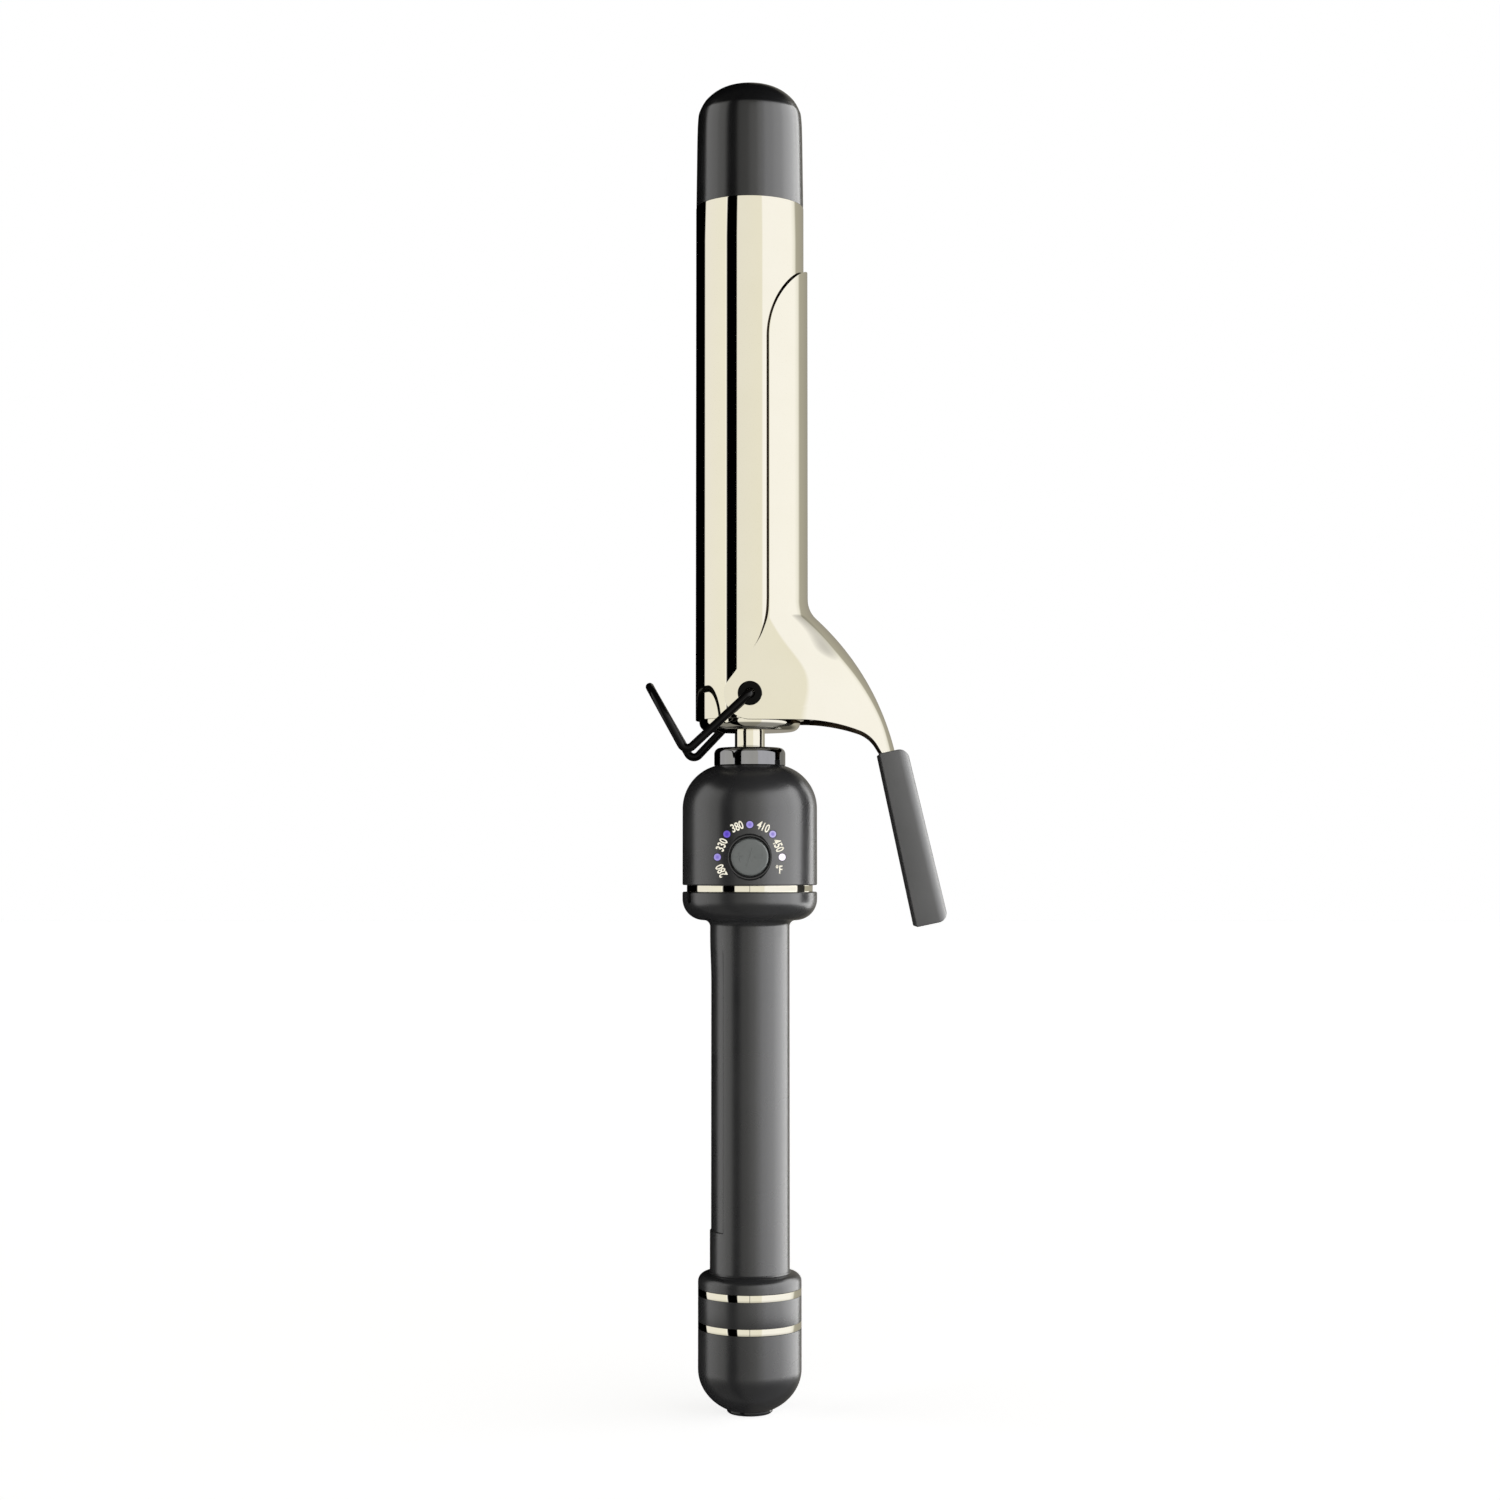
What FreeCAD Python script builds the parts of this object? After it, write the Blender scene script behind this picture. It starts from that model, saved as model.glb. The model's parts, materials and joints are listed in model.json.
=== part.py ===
import FreeCAD, Part
import math
import os

# Curling iron: gold barrel with a sprung clamp, wire stand, round housing with a button and
# five lenses, slim grip tube and a turning cord gland. Millimetres.
# +Z runs up the barrel, the clamp's lever is on +X, the button faces -Y, the stand points to -X.
# The origin is the middle of the gland's lower face.

os.makedirs("parts", exist_ok=True)
V = FreeCAD.Vector

# ---- driving dimensions ----
BARREL_OD = 31.75
BARREL_LENGTH = 151.75
BARREL_WALL = 1.3
TIP_HEIGHT = 36.7
GRIP_TUBE_OD = 23.2
GRIP_TUBE_LENGTH = 99.9
HOUSING_OD = 39.34
HOUSING_HEIGHT = 34.7
END_OD = 30.04
SHEET = 0.85
WIRE_DIAMETER = 2.45
CORD_BORE = 6.6

# ---- clearances ----
FIT = 0.05
THREAD_FIT = 0.02
CLAMP_GAP = 0.305
PRESS_GAP = 0.55

# ---- levels along Z that follow from the driving dimensions ----
GLAND_Z = 0.0
END_FLOOR = 5.5
END_LEDGE = 9.0
END_MIDDLE = 12.5
RING_HEIGHT = 2.0
LOWER_RING_Z = 24.39
BAND_HEIGHT = 7.46
UPPER_RING_Z = LOWER_RING_Z + RING_HEIGHT + BAND_HEIGHT
END_COLLAR_Z = UPPER_RING_Z + RING_HEIGHT + 0.09
END_COLLAR_HEIGHT = 5.3
GRIP_TOP = END_COLLAR_Z + END_COLLAR_HEIGHT - 0.94 + GRIP_TUBE_LENGTH
FLARE = 1.9
CUP_HEIGHT = 8.24
CUP_RIM = GRIP_TOP + FLARE + CUP_HEIGHT
TRIM_HEIGHT = 1.98
DOME_Z = CUP_RIM + TRIM_HEIGHT
DOME_TOP = DOME_Z + HOUSING_HEIGHT
COLLAR_HEIGHT = 5.4
NECK_GAP = 4.8
CAP_Z = DOME_TOP + COLLAR_HEIGHT + NECK_GAP
CAP_HEIGHT = 3.1
CAP_EDGE = 2.6
CAP_FLOOR = 1.2
BARREL_Z = CAP_Z + CAP_HEIGHT
BARREL_TOP = BARREL_Z + BARREL_LENGTH
PIVOT_Z = BARREL_Z + 7.03
BUTTON_Z = DOME_Z + 8.08

# ---- radii and walls ----
BARREL_R = BARREL_OD / 2
BARREL_IN = BARREL_R - BARREL_WALL
GRIP_R = GRIP_TUBE_OD / 2
GRIP_IN = GRIP_R - 2.2
HOUSING_R = HOUSING_OD / 2
DOME_WALL = 2.2
DOME_FLAT_R = 6.67
DOME_ARC = HOUSING_R - DOME_FLAT_R
SHOULDER_DROP = 0.6
TRIM_R = HOUSING_R - 1.28
SPIGOT_R = TRIM_R - 2.04
SPIGOT_IN = SPIGOT_R - 1.75
SPIGOT_RISE = 5.0
CUP_FLOOR = GRIP_TOP + FLARE + 2.1
CUP_ARC = HOUSING_R - GRIP_R - FLARE
END_R = END_OD / 2
SLEEVE_R = END_R - 2.02
SLEEVE_IN = SLEEVE_R - 2.4
NECK_R = 4.4
NECK_IN = 3.5
COLLAR_R = 10.43
CLAMP_IN = BARREL_R + CLAMP_GAP
CLAMP_R = CLAMP_IN + SHEET
WIRE_R = WIRE_DIAMETER / 2
BUSHING_R = 2.8
FLANGE_R = 3.5
FLANGE_THICK = 1.05
LEG_Y = CLAMP_R + 0.07 + FLANGE_THICK + 0.125 + WIRE_R
GLAND_R = SLEEVE_IN - 3.95
NOTCH_AZIMUTH = -63.0


# ---- shape helpers ----
def cylinder(radius, start, end):
    """Solid cylinder between two points."""
    axis = end.sub(start)
    return Part.makeCylinder(radius, axis.Length, start, axis)


def tube_z(r_out, r_in, z0, z1):
    """Upright tube round the Z axis."""
    outer = cylinder(r_out, V(0, 0, z0), V(0, 0, z1))
    inner = cylinder(r_in, V(0, 0, z0 - 1), V(0, 0, z1 + 1))
    return outer.cut(inner)


def block(x0, x1, y0, y1, z0, z1):
    """Box between six planes."""
    return Part.makeBox(x1 - x0, y1 - y0, z1 - z0, V(x0, y0, z0))


def line(a, b):
    """Straight edge between two (r, z) pairs in the XZ plane."""
    return Part.LineSegment(V(a[0], 0, a[1]), V(b[0], 0, b[1])).toShape()


def arc(centre, radius, from_deg, to_deg):
    """Circular edge in the XZ plane, angles from +X towards +Z."""
    steps = [from_deg, (from_deg + to_deg) / 2, to_deg]
    points = []
    for degrees in steps:
        points.append(on_circle(centre, radius, degrees))
    p = [V(x, 0, z) for x, z in points]
    return Part.Arc(p[0], p[1], p[2]).toShape()


def on_circle(centre, radius, degrees):
    """Point (x, z) of a circle in the XZ plane."""
    a = math.radians(degrees)
    return centre[0] + radius * math.cos(a), centre[1] + radius * math.sin(a)


def curve(points):
    """Smooth edge through (x, z) pairs in the XZ plane."""
    spline = Part.BSplineCurve()
    spline.interpolate([V(x, 0, z) for x, z in points])
    return spline.toShape()


def outline(parts):
    """Edges of a closed outline: edges are kept, (x, z) pairs are joined by straight edges."""
    edges = []
    last = None
    first = None
    for part in parts:
        if isinstance(part, tuple):
            start = end = part
        else:
            ends = (part.valueAt(part.FirstParameter), part.valueAt(part.LastParameter))
            start = (ends[0].x, ends[0].z)
            end = (ends[1].x, ends[1].z)
        if first is None:
            first = start
        if last is not None and math.dist(last, start) > 1e-6:
            edges.append(line(last, start))
        if not isinstance(part, tuple):
            edges.append(part)
        last = end
    if math.dist(last, first) > 1e-6:
        edges.append(line(last, first))
    return Part.Face(Part.Wire(edges))


def turned(parts):
    """Solid of revolution about Z from an outline."""
    return outline(parts).revolve(V(0, 0, 0), V(0, 0, 1), 360)


def across(parts, half_width):
    """Outline in the XZ plane extruded both ways along Y."""
    face = outline(parts)
    face.translate(V(0, -half_width, 0))
    return face.extrude(V(0, 2 * half_width, 0))


def about_z(shape, degrees):
    """Copy turned about the Z axis."""
    copy = shape.copy()
    copy.rotate(V(0, 0, 0), V(0, 0, 1), degrees)
    return copy


def rounded_path(points, radius):
    """Wire through points with its corners rounded; radius may be a list, one per corner."""
    radii = radius if isinstance(radius, list) else [radius] * (len(points) - 2)
    edges = []
    here = points[0]
    for i, bend in enumerate(radii):
        corner = points[i + 1]
        back = points[i].sub(corner).normalize()
        ahead = points[i + 2].sub(corner).normalize()
        half = back.getAngle(ahead) / 2
        reach = bend / math.tan(half)
        start = corner.add(V(back).multiply(reach))
        end = corner.add(V(ahead).multiply(reach))
        bisector = back.add(ahead).normalize()
        centre = corner.add(V(bisector).multiply(bend / math.sin(half)))
        middle = centre.sub(V(bisector).multiply(bend))
        edges.append(Part.LineSegment(here, start).toShape())
        edges.append(Part.Arc(start, middle, end).toShape())
        here = end
    edges.append(Part.LineSegment(here, points[-1]).toShape())
    return Part.Wire(edges)


def round_wire(points, radius, bend):
    """Round wire swept along a path with rounded corners."""
    path = rounded_path(points, bend)
    along = points[1].sub(points[0])
    section = Part.Wire(Part.makeCircle(radius, points[0], along))
    return path.makePipeShell([section], True, False)


def save(name, solids):
    """Write one node: one solid or several separate ones."""
    shapes = solids if isinstance(solids, list) else [solids]
    clean = []
    for shape in shapes:
        clean.extend(shape.removeSplitter().Solids)
    node = clean[0] if len(clean) == 1 else Part.makeCompound(clean)
    node.exportStep("parts/" + name + ".step")
    print(name, len(clean), "solid(s), valid", node.isValid(), "volume", round(node.Volume, 1))


# ---- barrel ----
TIP_SPIGOT = 8.0
TIP_WALL = 2.0
HOLDER_Z = BARREL_Z + 1.7
HOLDER_TOP = HOLDER_Z + 14.0
HOLDER_IN = 9.5
BUSHING_SHOULDER = BARREL_R - 2.9
RIVET_R = 1.0
RIVET_Z = PIVOT_Z + 1.9
BLOCK_Z = HOLDER_TOP
BLOCK_TOP = BARREL_TOP - TIP_SPIGOT - 3.0
STRIP_HALF = 1.2
INSULATION = 0.3
STRIP_Z = BLOCK_Z + 18.0
STRIP_TOP = BLOCK_TOP - 8.0
SENSOR_Y = -8.0
SENSOR_R = 1.5
FUSE_X = -4.0
FUSE_Z = HOLDER_Z + 1.5
FUSE_TOP = FUSE_Z + 11.0
LEAD_R = 0.8
SENSE_LEAD_R = 0.45
MAINS_LEAD_R = 1.0


def cool_tip():
    """Closed cap, nearly flush with the barrel, narrowing towards a rounded end."""
    z = BARREL_TOP
    top = z + TIP_HEIGHT
    r = BARREL_R
    spigot = BARREL_IN - FIT
    crown = [(r - 0.69, top - 8.8), (r - 1.05, top - 7.7), (r - 1.65, top - 6.4)]
    crown += [(r - 3.45, top - 4.0), (r - 6.5, top - 1.75), (r - 9.9, top - 0.55), (0.0, top)]
    side = [(r - 0.08, z + 1.3), (r - 0.18, z + 9.7), (r - 0.3, z + 19.3), (r - 0.46, z + 25.3)]
    parts = [(spigot - TIP_WALL, z - TIP_SPIGOT), (spigot, z - TIP_SPIGOT), (spigot, z)]
    parts += [(r - 0.1, z), (r - 0.08, z + 1.3), curve(side + crown)]
    parts += [(0.0, top - TIP_WALL - 1.0), (r - 8.0, top - 6.0), (spigot - TIP_WALL, top - 11.0)]
    return turned(parts)


def cross_hole(radius):
    """Cutter for the pivot's cross hole, both sides."""
    reach = BARREL_R + 5
    return cylinder(radius, V(0, -reach, PIVOT_Z), V(0, reach, PIVOT_Z))


def rivet_hole(radius):
    """Cutter for the spring's rivet, on the lever's side."""
    return cylinder(radius, V(HOLDER_IN - 1, 0, RIVET_Z), V(BARREL_R + 5, 0, RIVET_Z))


def barrel_tube():
    """Plated tube with holes for the bushings and for the spring's rivet."""
    body = tube_z(BARREL_R, BARREL_IN, BARREL_Z, BARREL_TOP)
    return body.cut(cross_hole(BUSHING_R + FIT)).cut(rivet_hole(RIVET_R + FIT))


def barrel_base_cap():
    """Rounded cup under the barrel; its step centres the barrel."""
    r = BARREL_IN + 0.22
    step = BARREL_IN - FIT
    edge = CAP_EDGE
    floor = CAP_Z + CAP_FLOOR
    inner = r - edge
    parts = [(NECK_R + THREAD_FIT, CAP_Z), (r - edge, CAP_Z)]
    parts += [arc((r - edge, CAP_Z + edge), edge, -90, 0), (r, BARREL_Z), (step, BARREL_Z)]
    parts += [(step, HOLDER_Z), (step - 1.4, HOLDER_Z), (step - 1.4, BARREL_Z)]
    parts += [(inner, floor), (NECK_R + THREAD_FIT, floor)]
    return turned(parts)


def barrel_holder():
    """Insulator ring in the barrel that carries the bushings."""
    body = tube_z(BARREL_IN - FIT, HOLDER_IN, HOLDER_Z, HOLDER_TOP)
    reach = BARREL_R + 5
    for side in (-1, 1):
        seat = V(0, side * BUSHING_SHOULDER, PIVOT_Z)
        body = body.cut(cylinder(BUSHING_R + FIT, seat, V(0, side * reach, PIVOT_Z)))
    body = body.cut(cross_hole(BUSHING_R - 0.6 + THREAD_FIT))
    return body.cut(rivet_hole(RIVET_R + FIT))


def pivot_bushing(side):
    """Flanged bushing: bearing for the clamp outside, socket for the stand wire inside."""
    flange = CLAMP_R + 0.07
    centre = PIVOT_Z
    seat = V(0, side * BUSHING_SHOULDER, centre)
    head = V(0, side * flange, centre)
    end = V(0, side * (flange + FLANGE_THICK), centre)
    tail = V(0, side * (HOLDER_IN + 0.1), centre)
    body = cylinder(BUSHING_R, seat, head).fuse(cylinder(FLANGE_R, head, end))
    body = body.fuse(cylinder(BUSHING_R - 0.6, tail, seat))
    bore = cylinder(WIRE_R + FIT, V(0, side * 5, centre), V(0, side * 25, centre))
    return body.cut(bore)


def half_block(side):
    """Half-round aluminium block that carries heat to the barrel wall."""
    body = cylinder(BARREL_IN - FIT, V(0, 0, BLOCK_Z), V(0, 0, BLOCK_TOP))
    face = STRIP_HALF + INSULATION
    far = BARREL_R
    if side < 0:
        keep = block(-far, far, -far, -face, BLOCK_Z, BLOCK_TOP)
    else:
        keep = block(-far, far, face, far, BLOCK_Z, BLOCK_TOP)
    body = body.common(keep)
    for x in (-8.0, 8.0):
        body = body.cut(cylinder(2.2, V(x, side * 6.5, BLOCK_Z - 1), V(x, side * 6.5, BLOCK_TOP + 1)))
    return body


def heater_block_front():
    """Front block with the thermistor's blind bore."""
    bore = cylinder(SENSOR_R + FIT, V(0, SENSOR_Y, BLOCK_Z - 1), V(0, SENSOR_Y, BLOCK_Z + 14))
    return half_block(-1).cut(bore)


def ptc_heater():
    """Flat ceramic heating strip."""
    return block(-8.5, 8.5, -STRIP_HALF, STRIP_HALF, STRIP_Z, STRIP_TOP)


def insulation_sheets():
    """Insulating sheets on both faces of the strip."""
    outer = STRIP_HALF + INSULATION
    front = block(-10, 10, -outer, -STRIP_HALF, STRIP_Z - 3, STRIP_TOP + 3)
    rear = block(-10, 10, STRIP_HALF, outer, STRIP_Z - 3, STRIP_TOP + 3)
    return [front, rear]


def thermistor():
    """Sensor bead in a round sleeve."""
    return cylinder(SENSOR_R, V(0, SENSOR_Y, BLOCK_Z + 3), V(0, SENSOR_Y, BLOCK_Z + 14))


def thermal_fuse():
    """One-shot fuse in the lower lead's line."""
    return cylinder(1.9, V(FUSE_X, 0, FUSE_Z), V(FUSE_X, 0, FUSE_TOP))


# ---- neck and housing ----
BOARD_THICK = 1.6
BOARD_FRONT = -(SPIGOT_IN - 6.0)
BOARD_BACK = BOARD_FRONT + BOARD_THICK
BOARD_HALF = math.sqrt((SPIGOT_IN - 0.6) ** 2 - BOARD_FRONT ** 2)
BOARD_Z = CUP_RIM - 3.3
BOARD_TOP = BOARD_Z + 31.0
BOARD_CORNER = 3.0
SCREW_X = BOARD_HALF - 2.0
SCREW_RISE = 5.0
POST_OUT = BOARD_HALF - 0.1
POST_IN = POST_OUT - 3.1
POST_DEPTH = 3.2
CAPACITOR_HALF = POST_IN - 1.3
CAPACITOR_DEPTH = -BOARD_BACK - 2.0
TRIAC_X = -(POST_IN - 0.25)
TRIAC_WIDTH = 5.8
BUTTON_R = 5.3
BUTTON_GAP = 0.35
RECESS_FLOOR_R = 6.25
RECESS_RIM_R = 6.7
RECESS_DEPTH = 1.12
BUTTON_FLOOR_Y = -(HOUSING_R - RECESS_DEPTH)
BUTTON_FACE_Y = -(HOUSING_R + 0.1)
BUTTON_STOP_Y = BUTTON_FLOOR_Y + 2.65
SWITCH_TIP_Y = BUTTON_STOP_Y + 2.7
LENS_R = 1.1
LENS_CIRCLE = 9.25
LENS_ANGLES = (180, 135, 90, 45, 0)
LED_Y = BOARD_FRONT - 1.0


def neck_tube():
    """Plated tube, flanged over the base cap's floor."""
    low = DOME_TOP - 8.5
    floor = CAP_Z + CAP_FLOOR
    parts = [(NECK_IN, low), (NECK_R, low), (NECK_R, floor), (NECK_R + 2.2, floor)]
    parts += [(NECK_R + 2.2, floor + 1.0), (NECK_IN, floor + 1.0)]
    return turned(parts)


def neck_collar():
    """Glossy collar with a rounded upper edge."""
    edge = 1.8
    top = DOME_TOP + COLLAR_HEIGHT
    parts = [(NECK_R + FIT, DOME_TOP), (COLLAR_R, DOME_TOP), (COLLAR_R, top - edge)]
    parts += [arc((COLLAR_R - edge, top - edge), edge, 0, 90), (NECK_R + FIT, top)]
    return turned(parts)


def neck_nut():
    """Hexagon nut under the crown of the dome."""
    top = DOME_TOP - DOME_WALL
    corners = []
    for i in range(7):
        x, y = on_circle((0, 0), 7.5, 60 * i)
        corners.append(V(x, y, top - 4))
    nut = Part.Face(Part.makePolygon(corners)).extrude(V(0, 0, 4))
    return nut.cut(cylinder(NECK_R + THREAD_FIT, V(0, 0, top - 5), V(0, 0, top + 1)))


def dome_profile():
    """Section of the dome: round shoulder outside, parallel inside, thick rim below."""
    centre_r = HOUSING_R - DOME_ARC
    centre_z = DOME_TOP - DOME_ARC + SHOULDER_DROP
    seat = math.degrees(math.asin((DOME_TOP - centre_z) / DOME_ARC))
    inner_arc = DOME_ARC - DOME_WALL
    inner_top = DOME_TOP - DOME_WALL
    inner_seat = math.degrees(math.asin((inner_top - centre_z) / inner_arc))
    rim_in = SPIGOT_R + FIT
    rim_top = CUP_RIM + SPIGOT_RISE + 0.1
    parts = [(rim_in, DOME_Z), (HOUSING_R, DOME_Z), (HOUSING_R, centre_z)]
    parts += [arc((centre_r, centre_z), DOME_ARC, 0, seat), (NECK_R + FIT, DOME_TOP)]
    parts += [(NECK_R + FIT, inner_top), arc((centre_r, centre_z), inner_arc, inner_seat, 0)]
    parts += [(HOUSING_R - DOME_WALL, rim_top), (rim_in, rim_top)]
    return parts


def lens_place(degrees):
    """Middle (x, z) of an indicator lens."""
    return on_circle((0, BUTTON_Z), LENS_CIRCLE, degrees)


def housing_dome():
    """Upper shell with the button's flat recess, its guide boss and five lens holes."""
    shell = turned(dome_profile())
    back = V(0, BUTTON_STOP_Y, BUTTON_Z)
    boss = cylinder(BUTTON_R + 2.2, V(0, -(HOUSING_R - 1.0), BUTTON_Z), back)
    boss = boss.common(cylinder(HOUSING_R - 0.5, V(0, 0, DOME_Z), V(0, 0, DOME_TOP)))
    shell = shell.fuse(boss)
    front = V(0, -HOUSING_R - 3, BUTTON_Z)
    reach = BUTTON_FLOOR_Y - front.y
    rim = RECESS_FLOOR_R + (RECESS_RIM_R - RECESS_FLOOR_R) * reach / RECESS_DEPTH
    recess = Part.makeCone(rim, RECESS_FLOOR_R, reach, front, V(0, 1, 0))
    bore = cylinder(BUTTON_R + BUTTON_GAP, front, V(0, BUTTON_STOP_Y + 1, BUTTON_Z))
    room = cylinder(BUTTON_R + 1.3, back, V(0, -10, BUTTON_Z))
    shell = shell.cut(recess).cut(bore).cut(room)
    for degrees in LENS_ANGLES:
        x, z = lens_place(degrees)
        shell = shell.cut(cylinder(LENS_R + FIT, V(x, -HOUSING_R - 3, z), V(x, LED_Y, z)))
    return shell


def indicator_lens(degrees):
    """Light pipe from its LED to the housing's surface, its end following the surface."""
    x, z = lens_place(degrees)
    pipe = cylinder(LENS_R, V(x, -HOUSING_R - 3, z), V(x, LED_Y, z))
    return pipe.common(cylinder(HOUSING_R + 0.08, V(0, 0, DOME_Z - 5), V(0, 0, DOME_TOP)))


def temperature_button():
    """Round button with a retaining flange and a stem towards the switch."""
    face = V(0, BUTTON_FACE_Y, BUTTON_Z)
    stop = V(0, BUTTON_STOP_Y + FIT, BUTTON_Z)
    cap = cylinder(BUTTON_R, face, stop)
    edges = [e for e in cap.Edges if e.Length > BUTTON_R and e.CenterOfMass.y < BUTTON_FACE_Y + 0.01]
    cap = cap.makeFillet(0.45, edges)
    flange = cylinder(BUTTON_R + 0.9, stop, V(0, BUTTON_STOP_Y + 0.9, BUTTON_Z))
    stem = cylinder(1.9, stop, V(0, SWITCH_TIP_Y - PRESS_GAP, BUTTON_Z))
    return cap.fuse(flange).fuse(stem)


def split_ring(r_out, r_in, z0, height):
    """Thin gold ring with a butt joint at the front."""
    joint = 0.12
    gap = block(-joint / 2, joint / 2, -r_out - 1, -r_in + 1, z0 - 1, z0 + height + 1)
    return tube_z(r_out, r_in, z0, z0 + height).cut(gap)


def notch_cutter():
    """Round-bottomed latch notch, open at the cup's rim."""
    half = 1.35
    low = CUP_RIM - 3.2 + half
    slot = block(0, HOUSING_R + 2, -half, half, low, CUP_RIM)
    slot = slot.fuse(cylinder(half, V(0, 0, low), V(HOUSING_R + 2, 0, low)))
    slot = slot.cut(cylinder(SPIGOT_IN - 2, V(0, 0, low - 9), V(0, 0, CUP_RIM + 9)))
    return about_z(slot, NOTCH_AZIMUTH - 90)


def handle_shell():
    """Grip tube that widens into the cup under the trim ring; the spigot enters the dome."""
    low = END_COLLAR_Z + 0.06
    centre = (HOUSING_R - CUP_ARC, GRIP_TOP + FLARE + CUP_ARC)
    fillet = (GRIP_R + FLARE, GRIP_TOP)
    parts = [(GRIP_IN, low), (GRIP_R, low), (GRIP_R, GRIP_TOP), arc(fillet, FLARE, 180, 90)]
    parts += [arc(centre, CUP_ARC, -90, 0), (HOUSING_R, CUP_RIM), (SPIGOT_R, CUP_RIM)]
    parts += [(SPIGOT_R, CUP_RIM + SPIGOT_RISE), (SPIGOT_IN, CUP_RIM + SPIGOT_RISE)]
    parts += [(SPIGOT_IN, CUP_FLOOR), (GRIP_IN, CUP_FLOOR)]
    shell = turned(parts).cut(notch_cutter())
    shell = shell.cut(button_window())
    return shell.cut(label_recess())


def button_window():
    """Cutter that opens the spigot behind the button's boss."""
    half = BUTTON_R + 3.3
    return block(-half, half, -HOUSING_R, 0, CUP_RIM + 2.3, CUP_RIM + SPIGOT_RISE + 1)


def label_recess():
    """Cutter for the shallow blank label field on the side away from the lever."""
    depth = 0.35
    half_angle = 48.0
    low = END_COLLAR_Z + END_COLLAR_HEIGHT + 11.2
    high = GRIP_TOP - 2.2
    face = outline([(GRIP_R - depth, low), (GRIP_R + 1, low), (GRIP_R + 1, high), (GRIP_R - depth, high)])
    sector = face.revolve(V(0, 0, 0), V(0, 0, 1), 2 * half_angle)
    return about_z(sector, 180 - half_angle)


# ---- inside the housing ----
def carrier_post(side):
    """Upright that holds one edge of the board."""
    x = sorted((side * POST_IN, side * POST_OUT))
    return block(x[0], x[1], BOARD_BACK, BOARD_BACK + POST_DEPTH, CUP_FLOOR + 1, BOARD_TOP)


def board_carrier():
    """Base ring in the cup, two uprights and the latch tab that shows in the notch."""
    base = tube_z(SPIGOT_IN - FIT, GRIP_IN - 1.6, CUP_FLOOR, CUP_FLOOR + 2)
    body = base.fuse(carrier_post(-1)).fuse(carrier_post(1))
    arm = block(SPIGOT_IN - 1.7, SPIGOT_IN - 0.2, -1.1, 1.1, CUP_FLOOR + 1, CUP_RIM - 0.6)
    tab = block(SPIGOT_IN - 1.0, HOUSING_R - 0.9, -1.05, 1.05, CUP_RIM - 2.3, CUP_RIM - 0.6)
    body = body.fuse(about_z(arm.fuse(tab), NOTCH_AZIMUTH - 90))
    for x, z in screw_places():
        body = body.cut(cylinder(1.0, V(x, BOARD_BACK - 1, z), V(x, BOARD_BACK + 4, z)))
    return body


def screw_places():
    """Middles (x, z) of the four board screws."""
    places = []
    for x in (-SCREW_X, SCREW_X):
        for z in (BOARD_Z + SCREW_RISE, BOARD_TOP - 2.5):
            places.append((x, z))
    return places


def control_board():
    """Circuit board behind the button, its lower corners cut away beside the latch arm."""
    board = block(-BOARD_HALF, BOARD_HALF, BOARD_FRONT, BOARD_BACK, BOARD_Z, BOARD_TOP)
    for side in (-1, 1):
        x = sorted((side * (BOARD_HALF - BOARD_CORNER), side * (BOARD_HALF + 1)))
        z = (BOARD_Z - 1, BOARD_Z + BOARD_CORNER)
        board = board.cut(block(x[0], x[1], BOARD_FRONT - 1, BOARD_BACK + 1, z[0], z[1]))
    for x, z in screw_places():
        board = board.cut(cylinder(1.1, V(x, BOARD_FRONT - 1, z), V(x, BOARD_BACK + 1, z)))
    return board


def board_screws():
    """Four small pan-head screws."""
    screws = []
    for x, z in screw_places():
        head = cylinder(1.5, V(x, BOARD_FRONT - 1.1, z), V(x, BOARD_FRONT, z))
        shank = cylinder(0.97, V(x, BOARD_FRONT, z), V(x, BOARD_BACK + 3, z))
        screws.append(head.fuse(shank))
    return screws


def tact_switch():
    """Push switch under the button's stem."""
    body = block(-3, 3, SWITCH_TIP_Y + 1.1, BOARD_FRONT, BUTTON_Z - 3, BUTTON_Z + 3)
    tip = cylinder(1.7, V(0, SWITCH_TIP_Y, BUTTON_Z), V(0, SWITCH_TIP_Y + 1.1, BUTTON_Z))
    return body.fuse(tip)


def leds():
    """Five small LEDs, one behind each lens."""
    bodies = []
    for degrees in LENS_ANGLES:
        x, z = lens_place(degrees)
        bodies.append(block(x - 0.9, x + 0.9, LED_Y, BOARD_FRONT, z - 0.9, z + 0.9))
    return bodies


def microcontroller():
    """Controller chip low on the board's front."""
    z = BOARD_Z + 2.0
    return block(-2.6, 2.6, BOARD_FRONT - 1.2, BOARD_FRONT, z, z + 5.2)


def triac():
    """Power switch on the board's back."""
    z = BOARD_TOP - 17.0
    return block(TRIAC_X, TRIAC_X + TRIAC_WIDTH, BOARD_BACK, BOARD_BACK + 3.0, z, z + 10.5)


def capacitor():
    """Film capacitor on the board's back."""
    z = BOARD_Z + 2.5
    far = BOARD_BACK + CAPACITOR_DEPTH
    return block(-CAPACITOR_HALF, CAPACITOR_HALF, BOARD_BACK, far, z, z + 8)


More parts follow.
